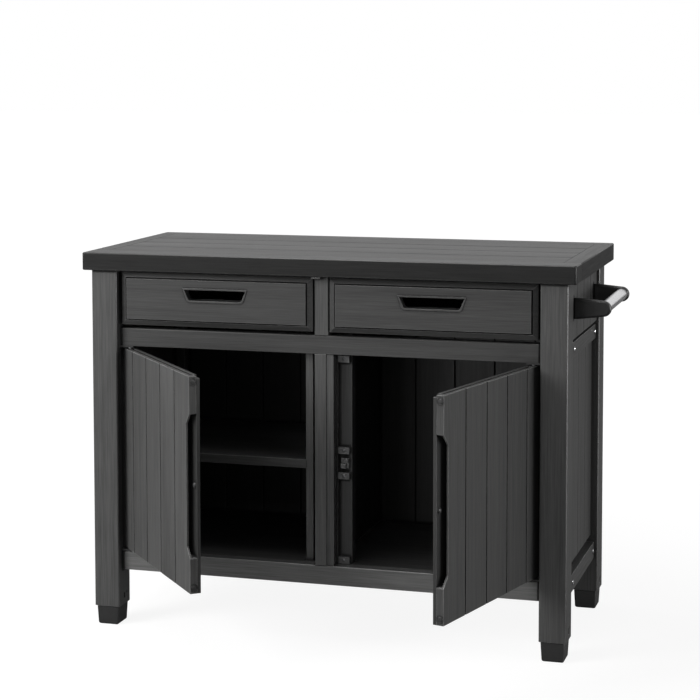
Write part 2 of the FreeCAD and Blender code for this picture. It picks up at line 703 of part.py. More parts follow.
def build_centre():
    """Strip, post and partition between the compartments, and the drawer divider."""
    stile = new_body("centre_stile", -stile_half, rail_setback, low_rail_top)
    plan = sketch_on(stile, "XY_Plane", "plan")
    step_x = stile_half + stile_step_place
    rib_start = stile_depth - stile_rib_depth
    draw_outline(plan, [
        (zero, zero), (step_x, zero), (step_x, stile_step),
        (stile_half * 2, stile_step), (stile_half * 2, rib_start),
        (stile_half * 2 + stile_rib, rib_start), (stile_half * 2 + stile_rib, stile_depth),
        (zero, stile_depth),
    ])
    pad(stile, plan, mid_rail_low - low_rail_top)

    post = new_body("centre_post", -post_left, post_front, low_rail_top)
    post_plan = sketch_on(post, "XY_Plane", "plan")
    groove_end = post_left - stile_half
    draw_outline(post_plan, [
        (zero, zero), (flange_width, zero), (flange_width, groove_depth),
        (groove_end, groove_depth), (groove_end, zero), (post_left + post_right, zero),
        (post_left + post_right, post_depth), (zero, post_depth),
    ])
    pad(post, post_plan, mid_rail_top - low_rail_top)
    right_side = post_left + stile_half + stile_rib + catch_width / 2
    for index, height in enumerate((catch_low, catch_second, catch_third, catch_top)):
        bore(
            post, "XZ_Plane", "bore_" + str(index + 1), right_side, height - low_rail_top,
            screw_shank + screw_clearance, screw_length, None, False,
        )
    board(
        "centre_partition", -partition / 2, partition / 2, post_back, back_front,
        low_rail_top, mid_rail_top,
    )
    divider = board(
        "drawer_divider", -divider_left, divider_right, rail_setback, back_front,
        mid_rail_top, deck_under,
    )
    tab_low = total_height - skirt_height - tab_height
    tab = sketch_on(divider, "XY_Plane", "tab", tab_low - mid_rail_top)
    draw_rectangle(tab, zero, tab_front - rail_setback, tab_width, zero)
    pad(divider, tab, tab_height)


build_centre()


# Sides, back and floor
def build_side(side, side_name):
    """Two rails and two plank panels between the legs of one side."""
    length = rear_leg_front - front_leg_back
    rails = (
        ("upper", side_rail_upper_low, side_rail_upper_height, lower_gap, side_gap + tongue_lap),
        ("lower", side_rail_lower_low, side_rail_lower_height, zero, side_gap * 2),
    )
    left = side_rail_face - side_rail_thickness if side > 0 else -side_rail_face
    outer = side_rail_thickness if side > 0 else zero
    inner = side_rail_thickness - outer
    tongue = rail_tongue if side > 0 else side_rail_thickness - rail_tongue
    for rail_name, low, height, below, above in rails:
        rail = new_body("side_rail_" + rail_name + "_" + side_name, left, front_leg_back, low)
        section = sketch_on(rail, "XZ_Plane", "section")
        corners = [(outer, zero), (outer, height), (tongue, height), (tongue, height + above)]
        corners += [(inner, height + above)]
        if below.value > 0:
            corners += [(inner, -below), (tongue, -below), (tongue, zero)]
        else:
            corners += [(inner, zero)]
        draw_outline(section, corners)
        pad(rail, section, length, True)
        for screw_name, screw_y in (
            ("front", side_screw_front), ("rear", length - side_screw_rear)
        ):
            bore(
                rail, "YZ_Plane", "bore_" + screw_name, screw_y, height / 2,
                screw_shank + screw_clearance, screw_length, outer, side < 0,
            )
    panels = (
        ("side_panel_", side_rail_lower_low + side_rail_lower_height + side_gap * 2,
         side_rail_upper_low - lower_gap, side_panel_face),
        ("side_panel_upper_", side_rail_upper_low + side_rail_upper_height + side_gap, deck_under,
         upper_panel_face),
    )
    for panel_name, low, high, face in panels:
        panel_left = face - side_panel_thickness if side > 0 else -face
        body = new_body(panel_name + side_name, panel_left, front_leg_back, low)
        sketch = sketch_on(body, "XY_Plane", "section")
        seams = even_seams(length, side_planks)
        corners = plank_outline(length, side_panel_thickness, seams, side > 0)
        draw_outline(sketch, [(across, run) for run, across in corners])
        pad(body, sketch, high - low)


build_side(-1, "left")
build_side(1, "right")


def build_back():
    low = low_rail_low
    body = new_body("back_panel", -leg_inner, back_front, low)
    sketch = sketch_on(body, "XY_Plane", "section")
    width = leg_inner * 2
    draw_outline(sketch, plank_outline(width, back_thickness, even_seams(width, back_planks), False))
    pad(body, sketch, deck_under - low)
    rear_rail_end = rear_rail_front + rear_rail_thickness
    board(
        "rear_rail_upper", -leg_inner, leg_inner, rear_rail_front, rear_rail_end,
        deck_under - rear_rail_height, deck_under,
    )
    board(
        "rear_rail_lower", -leg_inner, leg_inner, rear_rail_front, rear_rail_end,
        low, low_rail_top,
    )


def notched_plan(x0, x1, notch0, notch1, y0, y1):
    """Plan of a board that fits round the front and rear legs."""
    front = front_leg_back - y0
    rear = rear_leg_front - y0
    depth = formula(y1) - y0
    inner0 = notch0 - x0
    inner1 = notch1 - x0
    width = x1 - x0
    corners = []
    if inner0.value > 0:
        corners += [(zero, rear), (zero, front), (inner0, front)]
    corners += [(inner0, zero), (inner1, zero)]
    if width.value > inner1.value:
        corners += [(inner1, front), (width, front), (width, rear), (inner1, rear)]
    corners += [(inner1, depth), (inner0, depth)]
    if inner0.value > 0:
        corners += [(inner0, rear)]
    return corners


def build_floor():
    body = new_body("floor_panel", -side_inner, rail_back, low_rail_top - floor_thickness)
    sketch = sketch_on(body, "XY_Plane", "plan")
    draw_outline(sketch, notched_plan(-side_inner, side_inner, -leg_inner, leg_inner, rail_back, back_front))
    pad(body, sketch, floor_thickness)


def build_shelf():
    """Shelf of the left compartment, cut out round the legs and the post."""
    right = -partition / 2
    body = new_body("shelf", -side_inner, shelf_front, shelf_top - shelf_thickness)
    plan = sketch_on(body, "XY_Plane", "plan")
    width = side_inner + right
    leg_cut = side_inner - leg_inner
    post_cut = side_inner - post_left
    front = front_leg_back - shelf_front
    rear = rear_leg_front - shelf_front
    depth = back_front - shelf_front
    post_end = post_back - shelf_front
    draw_outline(plan, [
        (zero, rear), (zero, front), (leg_cut, front), (leg_cut, zero), (post_cut, zero),
        (post_cut, post_end), (width, post_end), (width, depth), (leg_cut, depth), (leg_cut, rear),
    ])
    pad(body, plan, shelf_thickness)
    lip = sketch_on(body, "XY_Plane", "lip")
    draw_rectangle(lip, leg_cut, zero, post_cut, shelf_lip_depth)
    pad(body, lip, shelf_lip - shelf_thickness, True)

    strips = []
    strip_length = rear_leg_front - post_back - cleat_end * 2
    for index, left in enumerate((-side_inner, -partition / 2 - cleat)):
        strip = doc.addObject("Part::Box", "cleat_" + str(index + 1))
        strip.setExpression("Length", cleat.text)
        strip.setExpression("Width", strip_length.text)
        strip.setExpression("Height", cleat.text)
        strip.setExpression("Placement.Base.x", left.text)
        strips.append(strip)
    group("shelf_cleats", strips, zero, post_back + cleat_end, shelf_top - shelf_thickness - cleat)


build_back()
build_floor()
build_shelf()


# Drawers
def trapezoid(middle, low, height, top_width, bottom_width):
    return [
        (middle - bottom_width / 2, low), (middle + bottom_width / 2, low),
        (middle + top_width / 2, low + height), (middle - top_width / 2, low + height),
    ]


def build_drawer_front(name, left, width):
    """Moulded drawer front: a raised panel in a border that falls back, and a pull cut-out."""
    body = new_body(name, left, drawer_setback, drawer_low)

    def inset_rectangle(sketch, inset):
        draw_rectangle(sketch, inset, inset, width - inset, drawer_height - inset)

    outer_level = -(drawer_raise + drawer_slope)
    back = sketch_on(body, "XZ_Plane", "back", outer_level)
    inset_rectangle(back, zero)
    pad(body, back, drawer_front_thickness + outer_level, True)
    slope_foot = sketch_on(body, "XZ_Plane", "slope_foot", outer_level)
    inset_rectangle(slope_foot, zero)
    slope_top = sketch_on(body, "XZ_Plane", "slope_top", -drawer_raise)
    inset_rectangle(slope_top, drawer_border)
    loft(body, "AdditiveLoft", slope_foot, slope_top)
    panel_inset = drawer_border + drawer_groove
    groove = sketch_on(body, "XZ_Plane", "groove", -drawer_raise)
    inset_rectangle(groove, drawer_border)
    inset_rectangle(groove, panel_inset)
    pocket(body, groove, drawer_groove_depth)
    panel = sketch_on(body, "XZ_Plane", "panel", -drawer_raise)
    inset_rectangle(panel, panel_inset)
    pad(body, panel, drawer_raise)

    middle = width / 2
    rim = sketch_on(body, "XZ_Plane", "pull_rim")
    rim_outline = trapezoid(
        middle, pull_low - pull_rim, pull_height + pull_rim * 2,
        pull_top + pull_rim * 2, pull_bottom + pull_rim * 2,
    )
    draw_outline(rim, rim_outline)
    pad(body, rim, pull_rim_height)
    soften(
        body, "Fillet", pull_round + pull_rim,
        lambda edge: along(edge, 1)
        and edge.CenterOfMass.y < 0
        and edge.CenterOfMass.z < pull_low.value,
    )
    cut = sketch_on(body, "XZ_Plane", "pull", pull_rim_height)
    draw_outline(cut, trapezoid(middle, pull_low, pull_height, pull_top, pull_bottom))
    pocket(body, cut, drawer_front_thickness + pull_rim_height)
    soften(
        body, "Fillet", pull_round,
        lambda edge: along(edge, 1)
        and abs(edge.CenterOfMass.z - pull_low.value) < tiny
        and edge.Length > drawer_front_thickness.value,
    )


def build_tray(name, left, width, pull_middle):
    """Open tray behind a drawer front, lower behind the pull to leave room for fingers."""
    body = new_body(name, left, drawer_back, tray_low)
    plan = sketch_on(body, "XY_Plane", "plan")
    draw_rectangle(plan, zero, zero, width, tray_length)
    pad(body, plan, tray_height)
    hollow = sketch_on(body, "XY_Plane", "hollow", tray_height)
    draw_rectangle(hollow, tray_wall, tray_wall, width - tray_wall, tray_length - tray_wall)
    pocket(body, hollow, tray_height - tray_bottom)
    middle = pull_middle - left
    room = sketch_on(body, "XZ_Plane", "finger_room")
    draw_rectangle(
        room, middle - pull_top / 2, drawer_low + pull_low - tray_low,
        middle + pull_top / 2, tray_height,
    )
    pocket(body, room, tray_wall)


def build_runner(name, wall_x, toward):
    """Angle-shaped runner on a wall: an upright and a ledge under the tray."""
    body = new_body(name, wall_x, runner_front, drawer_low)
    sketch = sketch_on(body, "XZ_Plane", "section")
    draw_outline(sketch, [
        (zero, zero), (runner_ledge * toward, zero),
        (runner_ledge * toward, runner_ledge_thickness), (runner_web * toward, runner_ledge_thickness),
        (runner_web * toward, runner_height), (zero, runner_height),
    ])
    pad(body, sketch, back_front - runner_front, True)


build_drawer_front("drawer_left_front", -drawer_outer, drawer_outer - divider_left - drawer_gap)
build_drawer_front(
    "drawer_right_front", divider_right + drawer_gap, drawer_outer - divider_right - drawer_gap
)
build_tray(
    "drawer_left_tray", tray_gap - leg_inner, leg_inner - divider_left - tray_gap * 2,
    -(drawer_outer + divider_left + drawer_gap) / 2,
)
build_tray(
    "drawer_right_tray", divider_right + tray_gap, leg_inner - divider_right - tray_gap * 2,
    (drawer_outer + divider_right + drawer_gap) / 2,
)
build_runner("runner_left_outer", -leg_inner, 1)
build_runner("runner_left_inner", -divider_left, -1)
build_runner("runner_right_inner", divider_right, 1)
build_runner("runner_right_outer", leg_inner, -1)


# Doors, each built round its own hinge axis
def build_door(side, side_name):
    """One plank door. Its frame stands on the hinge axis and x runs to the free edge."""
    sign = -side
    turn = -left_door_open if side < 0 else right_door_open
    axis_x = hinge_x * side
    front = -door_thickness / 2
    seam_y = front + door_block
    hinge_edge = -hinge_from_edge
    free_edge = door_width - hinge_from_edge

    panel = new_body("door_" + side_name + "_front", axis_x, hinge_y, door_low, turn)
    section = sketch_on(panel, "XY_Plane", "section")
    seams = [door_hinge_plank + door_plank * index for index in range(4)]
    groove = (door_seam_width, door_seam_depth, door_seam_floor)
    corners = plank_outline(door_width, door_block, seams, False, groove)
    draw_outline(section, [((x + hinge_edge) * sign, y + front) for x, y in corners])
    pad(panel, section, door_height)

    scoop = sketch_on(panel, "XZ_Plane", "scoop", -front)
    low = scoop_above_low
    high = door_height - scoop_below_top
    inner = free_edge - scoop_depth
    over = free_edge + scoop_depth
    draw_outline(scoop, [
        (free_edge * sign, low), (inner * sign, low + scoop_slant),
        (inner * sign, high - scoop_slant), (free_edge * sign, high),
        (over * sign, high), (over * sign, low),
    ])
    pocket(panel, scoop, door_block)
    hollow = sketch_on(panel, "XZ_Plane", "hollow", -(front + scoop_lip))
    draw_rectangle(
        hollow, (free_edge - scoop_hollow) * sign, low + scoop_margin,
        over * sign, high - scoop_margin,
    )
    pocket(panel, hollow, door_block - scoop_lip)

    channel = sketch_on(panel, "XY_Plane", "channel", door_height)
    draw_rectangle(
        channel, channel_margin * sign, seam_y - channel_width,
        (free_edge - channel_margin) * sign, seam_y,
    )
    pocket(panel, channel, channel_depth)

    pin_hole = pin_radius + pin_clearance / 2
    pin_sunk = pin_length - pin_stand
    bore(panel, "XY_Plane", "bore_top", zero, zero, pin_hole, pin_sunk, door_height)
    bore(panel, "XY_Plane", "bore_low", zero, zero, pin_hole, pin_sunk, None, True)
    screw_y = (front + seam_y) / 2
    for name, height in (("low", door_screw_margin), ("top", door_height - door_screw_margin)):
        bore(
            panel, "YZ_Plane", "screw_" + name, screw_y, height,
            screw_shank + screw_clearance, screw_length, free_edge * sign, sign < 0,
        )

    skin = new_body("door_" + side_name + "_back", axis_x, hinge_y, door_low, turn)
    skin_plan = sketch_on(skin, "XY_Plane", "plan")
    draw_rectangle(skin_plan, hinge_edge * sign, seam_y, free_edge * sign, seam_y + door_skin)
    pad(skin, skin_plan, door_height)
    notch = sketch_on(skin, "XY_Plane", "notch", door_height)
    draw_rectangle(
        notch, (free_edge - skin_notch) * sign, seam_y, over * sign, seam_y + door_skin
    )
    pocket(skin, notch, skin_notch_depth)

    up = FreeCAD.Vector(0, 0, 1)
    pins = [
        cylinder("pin_" + side_name + "_low", pin_radius, pin_length, zero, zero, -pin_stand, up),
        cylinder(
            "pin_" + side_name + "_top", pin_radius, pin_length, zero, zero,
            door_height - pin_sunk, up,
        ),
    ]
    group("door_" + side_name + "_pins", pins, axis_x, hinge_y, door_low, turn)

    outward = FreeCAD.Vector(sign, 0, 0)
    screws = []
    for name, height in (("low", door_screw_margin), ("top", door_height - door_screw_margin)):
        screws.append(screw(
            "door_screw_" + side_name + "_" + name, door_plug, small_head_height,
            free_edge * sign, screw_y, height, outward,
        ))
    screws.append(cylinder(
        "scoop_stud_" + side_name, stud_radius, stud_height, (free_edge - stud_inset) * sign,
        seam_y, (low + high) / 2, FreeCAD.Vector(0, -1, 0),
    ))
    group("door_" + side_name + "_screws", screws, axis_x, hinge_y, door_low, turn)


def build_brackets(side, side_name):
    """Bored plates that hold the hinge pins under the middle rail and on the bottom rail."""
    plates = []
    for name, low in (
        ("top", mid_rail_low - bracket_thickness), ("low", low_rail_top)
    ):
        plate = doc.addObject("Part::Box", "bracket_plate_" + side_name + "_" + name)
        plate.setExpression("Length", bracket_length.text)
        plate.setExpression("Width", rail_thickness.text)
        plate.setExpression("Height", bracket_thickness.text)
        left = -leg_inner if side < 0 else leg_inner - bracket_length
        plate.setExpression("Placement.Base.x", left.text)
        plate.setExpression("Placement.Base.y", rail_setback.text)
        plate.setExpression("Placement.Base.z", low.text)
        hole = cylinder(
            "bracket_hole_" + side_name + "_" + name, pin_radius + pin_clearance,
            bracket_thickness, hinge_x * side, hinge_y, low, FreeCAD.Vector(0, 0, 1),
        )
        bracket = doc.addObject("Part::Cut", "bracket_" + side_name + "_" + name)
        bracket.Base = plate
        bracket.Tool = hole
        plates.append(bracket)
    group("hinge_brackets_" + side_name, plates, zero, zero, zero)


for door_side, door_side_name in ((-1, "left"), (1, "right")):
    build_door(door_side, door_side_name)
    build_brackets(door_side, door_side_name)


# Catches on the right of the centre post
def build_catches():
    front = FreeCAD.Vector(0, -1, 0)
    blocks = []
    screws = []
    left = stile_half + stile_rib
    for index, height in enumerate((catch_low, catch_second, catch_third, catch_top)):
        number = str(index + 1)
        block = doc.addObject("Part::Box", "catch_block_" + number)
        block.setExpression("Length", catch_width.text)
        block.setExpression("Width", catch_depth.text)
        block.setExpression("Height", catch_height.text)
        block.setExpression("Placement.Base.x", left.text)
        block.setExpression("Placement.Base.y", (post_front - catch_depth).text)
        block.setExpression("Placement.Base.z", (height - catch_height / 2).text)
        middle = left + catch_width / 2
        hole = cylinder(
            "catch_hole_" + number, screw_shank + screw_clearance, catch_depth,
            middle, post_front, height, front,
        )
        bored = doc.addObject("Part::Cut", "catch_" + number)
        bored.Base = block
        bored.Tool = hole
        blocks.append(bored)
        screws.append(screw(
            "catch_screw_" + number, small_head, small_head_height,
            middle, post_front - catch_depth, height, front,
        ))
    group("catch_blocks", blocks, zero, zero, zero)
    group("catch_screws", screws, zero, zero, zero)

    striker = new_body("latch_striker", left + striker_side, post_front, striker_height)
    half_tall = striker_tall / 2
    plate = sketch_on(striker, "XZ_Plane", "plate")
    plate_right = striker_width / 2 + knob_right + knob_radius
    draw_rectangle(plate, zero, -half_tall, plate_right, knob_above + knob_radius)
    pad(striker, plate, knob_plate)
    block = sketch_on(striker, "XZ_Plane", "block")
    draw_rectangle(block, zero, -half_tall, striker_width, half_tall - block_drop)
    pad(striker, block, striker_depth)
    knob = sketch_on(striker, "XZ_Plane", "knob")
    draw_circle(knob, striker_width / 2 + knob_right, knob_above, knob_radius)
    pad(striker, knob, knob_depth)
    soften(
        striker, "Chamfer", stile_step,
        lambda edge: edge.CenterOfMass.y < -knob_plate.value - tiny and not along(edge, 1),
    )


build_catches()


def build_side_screws():
    screws = []
    for side in (-1, 1):
        outward = FreeCAD.Vector(side, 0, 0)
        for place_y in (front_leg_back + side_screw_front, rear_leg_front - side_screw_rear):
            for height in (
                side_rail_upper_low + side_rail_upper_height / 2,
                side_rail_lower_low + side_rail_lower_height / 2,
            ):
                screws.append(screw(
                    "rail_screw_" + str(len(screws) + 1), screw_head, screw_head_height,
                    side_rail_face * side, place_y, height, outward,
                ))
    group("side_rail_screws", screws, zero, zero, zero)


build_side_screws()


# Handle on the right side
def build_arm(name, front, socket_at_back):
    """Flat arm with a straight root that tapers to a round end round the bar."""
    reach = bar_axis - upper_panel_face
    body = new_body(name, upper_panel_face, front, bar_height)
    sketch = sketch_on(body, "XZ_Plane", "outline")
    root_top = arm_root_height - arm_root_drop
    draw_outline(sketch, [
        (zero, -arm_root_drop), (arm_root_flat, -arm_root_drop),
        (reach, -arm_end_radius), (reach, arm_end_radius),
        (arm_root_flat, root_top), (zero, root_top),
    ])
    pad(body, sketch, arm_thickness, True)
    round_end = sketch_on(body, "XZ_Plane", "round_end")
    draw_circle(round_end, reach, zero, arm_end_radius)
    pad(body, round_end, arm_thickness, True)
    soften(
        body, "Chamfer", arm_edge,
        lambda edge: not along(edge, 1) and edge.CenterOfMass.x > 1 and edge.Length > 1,
    )
    start = -arm_thickness if socket_at_back else zero
    bore(
        body, "XZ_Plane", "socket", reach, zero, bar_radius + bar_clearance, bar_socket,
        start, socket_at_back,
    )


def build_bar():
    """Metal tube between the two arms."""
    start = arm_front + arm_thickness - bar_socket
    body = new_body("handle_bar", bar_axis, start, bar_height)
    sketch = sketch_on(body, "XZ_Plane", "ring")
    draw_circle(sketch, zero, zero, bar_radius)
    draw_circle(sketch, zero, zero, bar_radius - bar_wall)
    pad(body, sketch, arm_rear + bar_socket - start, True)


build_arm("handle_arm_front", arm_front, True)
build_arm("handle_arm_rear", arm_rear, False)
build_bar()


# Move the origin under the middle of the whole model
def cell_of(alias):
    return "B" + str(used_rows.index(alias) + 1)


def whole_box():
    box = FreeCAD.BoundBox()
    for node in nodes:
        box.add(node.Shape.optimalBoundingBox(False))
    return box


doc.recompute()
box = whole_box()
sheet.set(cell_of("origin_x"), str(round(box.Center.x, 3)))
sheet.set(cell_of("origin_y"), str(round(box.Center.y, 3)))
doc.recompute()

# Checks and export
for item in doc.Objects:
    if "Invalid" in item.State or "Error" in item.State:
        raise RuntimeError(item.Label + " did not compute: " + str(item.State))
for node in nodes:
    if node.Shape.isNull() or not node.Shape.isValid():
        raise RuntimeError(node.Label + " has no valid shape")

os.makedirs("parts", exist_ok=True)
for node in nodes:
    node.Shape.exportStep("parts/" + node.Label + ".step")
print(len(nodes), "nodes, box", whole_box())
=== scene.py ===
import json
import math

import bpy
import numpy as np
from bpy.props import FloatProperty, FloatVectorProperty, IntProperty, PointerProperty
from mathutils import Matrix, Vector


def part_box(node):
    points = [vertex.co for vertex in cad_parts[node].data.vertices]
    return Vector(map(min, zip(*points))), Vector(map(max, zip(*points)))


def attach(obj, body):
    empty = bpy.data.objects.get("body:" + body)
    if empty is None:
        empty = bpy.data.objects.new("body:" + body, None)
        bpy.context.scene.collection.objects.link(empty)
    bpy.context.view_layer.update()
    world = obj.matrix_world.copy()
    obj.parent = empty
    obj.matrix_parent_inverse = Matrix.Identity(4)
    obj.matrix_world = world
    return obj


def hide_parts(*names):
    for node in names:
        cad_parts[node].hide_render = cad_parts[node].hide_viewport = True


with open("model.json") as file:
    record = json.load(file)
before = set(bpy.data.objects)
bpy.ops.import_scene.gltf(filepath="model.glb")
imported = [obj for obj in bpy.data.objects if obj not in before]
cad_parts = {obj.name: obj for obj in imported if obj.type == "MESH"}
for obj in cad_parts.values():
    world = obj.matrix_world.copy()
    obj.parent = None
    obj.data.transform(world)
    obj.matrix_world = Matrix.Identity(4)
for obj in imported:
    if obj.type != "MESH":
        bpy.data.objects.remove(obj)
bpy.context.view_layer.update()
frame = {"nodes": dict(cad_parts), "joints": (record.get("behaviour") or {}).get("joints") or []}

# Finish and stage for a free-standing outdoor grill cart.
# Every length is in metres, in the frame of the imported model.

bl_info = {
    "name": "Grill Cart Finish",
    "version": (1, 1, 0),
    "blender": (4, 5, 0),
    "location": "View3D > Sidebar > Grill Cart",
    "description": "Brushed resin, dark fittings and a plain studio for a grill cart",
    "category": "Object",
}

# Nodes of each finish, by the direction in which their grain runs
WORKTOP_ALONG_X = ("top_front_board", "top_rear_board")
WORKTOP_ALONG_Y = ("top_end_board_left", "top_end_board_right")
RAILS_ALONG_X = ("mid_rail", "rear_rail_upper", "rear_rail_lower")
RAILS_ALONG_Y = (
    "side_rail_upper_left", "side_rail_upper_right",
    "side_rail_lower_left", "side_rail_lower_right",
)
LEGS = ("leg_front_left", "leg_front_right", "leg_rear_left", "leg_rear_right")
POSTS = ("centre_stile", "drawer_divider")
PANELS = (
    "side_panel_left", "side_panel_right", "side_panel_upper_left", "side_panel_upper_right",
)
INSIDE_ALONG_X = ("floor_panel", "shelf")
INSIDE_ALONG_Y = (
    "top_battens", "shelf_cleats",
    "runner_left_outer", "runner_left_inner", "runner_right_inner", "runner_right_outer",
)
INSIDE_UPRIGHT = ("centre_partition", "back_panel")
DOOR_FRONTS = ("door_left_front", "door_right_front")
DOOR_BACKS = ("door_left_back", "door_right_back")
DRAWER_FRONTS = ("drawer_left_front", "drawer_right_front")
DRAWER_TRAYS = ("drawer_left_tray", "drawer_right_tray")
FOOT_CAPS = ("foot_front_left", "foot_front_right", "foot_rear_left", "foot_rear_right")
HANDLE_ARMS = ("handle_arm_front", "handle_arm_rear")

# Axes along which a grain runs
X, Y, Z = 0, 1, 2

# Layers of the grain, the finest first: how closely its pattern is set, the detail and the
# roughness of its noise, and its share
GRAIN_LAYERS = ((1.0, 5.0, 0.6, 0.5), (0.22, 3.0, 0.5, 0.3), (0.03, 2.0, 0.5, 0.2))

# Masks of painted shade, partly dust in the grooves: reach, and how open a place is where the
# mask begins and where it is full
SHADE_MASKS = (("Grooves", 0.008, 0.99, 0.82), ("Corners", 0.028, 0.97, 0.4))

EDGE_REACH = 0.0018  # width of the wear and painted highlight on an edge
DULLER, GLOSSIER = 0.06, 0.05  # change of roughness at the bottom and on top of a texture
GROOVE_TONE = 0.1  # colour of the painted shade and dust in a groove or corner, as a share of the dark resin's
BUMP_STRENGTH = 0.6  # share of a texture's depth that the shading shows
SPECKLES = 1000.0  # bumps of the moulded texture in one metre
STEEL_RELIEF = 0.00002  # depth of the lines in brushed steel
FLANGE_STARTS = -0.008  # place along X from which a shadow is painted on the centre post's right flange
SHADE_FADES = 0.002  # width of that painted shadow's edge

MERGE_WITHIN = 0.00001  # distance within which two points of a CAD mesh are one
FLAT_WITHIN = math.radians(1)  # faces that meet at less than this angle are one face
SHARP_FROM = math.radians(40)  # edges that turn by more than this angle are rounded

# Rings and points of the round skins, as steps over a quarter turn, a dome or an arc
FOOT_RINGS, FOOT_CORNER_POINTS = 7, 6
SCREW_RINGS, PLUG_RINGS, STUD_RINGS = 13, 9, 13
ARM_RINGS, ARM_POINTS = 7, 25

# Profile of a door plug outside its dome, as shares of its radius and of its height
PLUG_RIM = np.array(
    [(0.72, 0.15), (0.80, 0.15), (0.84, 0.75), (0.94, 0.75), (1.0, 0.55), (1.0, 0.0)],
)
# Rounded end of the handle's bar, as shares of its radius and of its lip
BAR_END = np.array([(0.0, 0.0), (0.8, 0.0), (0.96, 0.5), (1.0, 1.0)])
BAR_LIP = 0.1  # length of that end, as a share of the radius
ARM_ROOT = 0.012  # length of the straight flanks at an arm's root
RIM_FROM = 0.98  # points beyond this share of a head's radius lie on its rim
LEG_PLUG_DEPTH = 0.7  # place of a leg's plugs, as a share of its depth
LEG_PLUG_STAND = 0.12  # how far a leg's plug stands out, as a share of its radius

# Lamps: name, place, target, width, height, the setting that holds the power, a share of
# it, and whether the lamp lights the cart or only shows in its gloss
LAMPS = (
    ("Key lamp", (-2.5, -2.4, 1.9), (0, 0, 0.45), 1.6, 1.6, "key", 1.0, True),
    ("Fill lamp", (-0.9, -4.9, 0.5), (0.1, 0, 0.3), 2.0, 1.0, "fill", 1.0, True),
    ("Side lamp", (4.3, 0.3, 1.0), (0.5, 0, 0.5), 1.2, 2.0, "side", 1.0, True),
    ("Top lamp", (-0.9, 0.1, 3.3), (-0.2, 0.1, 0.9), 2.6, 1.6, "top", 1.0, True),
    ("Rim lamp", (4.0, -0.8, 1.2), (0.5, 0, 0.6), 0.5, 2.4, "rim", 1.2, False),
    ("Edge lamp", (-0.6, -0.5, 3.6), (0, 0, 0.7), 2.4, 0.8, "rim", 1.0, False),
)
FLOOR_HALF = 40.0  # half of the floor's side
SENSOR_WIDTH = 36.0  # in millimetres
SEEN_WITHIN = 200  # furthest distance that the camera shows


class ResinSettings(bpy.types.PropertyGroup):
    """Colour and texture of the cart's resin boards"""

    dark: FloatVectorProperty(
        name="Dark resin", description="Colour at the bottom of the grain",
        subtype="COLOR", size=3, default=(0.031, 0.031, 0.0306), min=0, max=1,
    )
    light: FloatVectorProperty(
        name="Light resin", description="Colour on the ridges of the grain",
        subtype="COLOR", size=3, default=(0.072, 0.072, 0.071), min=0, max=1,
    )
    # Painted highlight and wear: the edge colour, far lighter than the resin, stands for the
    # light caught on the rounded edges as well as for rubbing
    edge: FloatVectorProperty(
        name="Edge colour", description="Colour on the rubbed edges of the boards",
        subtype="COLOR", size=3, default=(0.6, 0.6, 0.593), min=0, max=1,
    )
    fibre_width: FloatProperty(
        name="Fibre width", description="Width of one line of the grain",
        default=0.0022, min=0.0002, max=0.02, unit="LENGTH",
    )
    fibre_length: FloatProperty(
        name="Fibre length", description="Length of one line of the grain",
        default=0.09, min=0.01, max=1, unit="LENGTH",
    )
    relief: FloatProperty(
        name="Grain relief", description="Depth of the grain",
        default=0.0002, min=0, max=0.002, unit="LENGTH",
    )
    roughness: FloatProperty(
        name="Roughness", description="Mean roughness of the resin",
        default=0.42, min=0, max=1, subtype="FACTOR",
    )
    sheen_level: FloatProperty(
        name="Surface gloss", description="Strength of the resin's reflection",
        default=0.3, min=0, max=1, subtype="FACTOR",
    )
    edge_round: FloatProperty(
        name="Edge rounding", description="Rounding of the boards' edges",
        default=0.0008, min=0.0001, max=0.01, unit="LENGTH",
    )
    # Painted highlight and wear on the edges: their strength
    edge_wear_and_highlight: FloatProperty(
        name="Edge wear", description="Strength of the lighter edges",
        default=0.9, min=0, max=1, subtype="FACTOR",
    )
    # Painted shade, partly dust, in grooves and joints, and painted shade in wide corners
    groove_shade: FloatProperty(
        name="Groove shade", description="Darkness of the grooves and joints",
        default=0.95, min=0, max=1, subtype="FACTOR",
    )
    corner_shade: FloatProperty(
        name="Corner shade", description="Darkness of the wide corners",
        default=0.55, min=0, max=1, subtype="FACTOR",
    )
    # Painted shadow on the post's right flange: its darkness
    flange_shade: FloatProperty(
        name="Flange shade", description="Darkness of the shadow on the post's right flange",
        default=0.6, min=0, max=1, subtype="FACTOR",
    )
    caps: FloatVectorProperty(
        name="Foot caps", description="Colour of the foot caps",
        subtype="COLOR", size=3, default=(0.02, 0.02, 0.02), min=0, max=1,
    )
    trays: FloatVectorProperty(
        name="Trays", description="Colour of the drawer trays",
        subtype="COLOR", size=3, default=(0.06, 0.06, 0.06), min=0, max=1,
    )


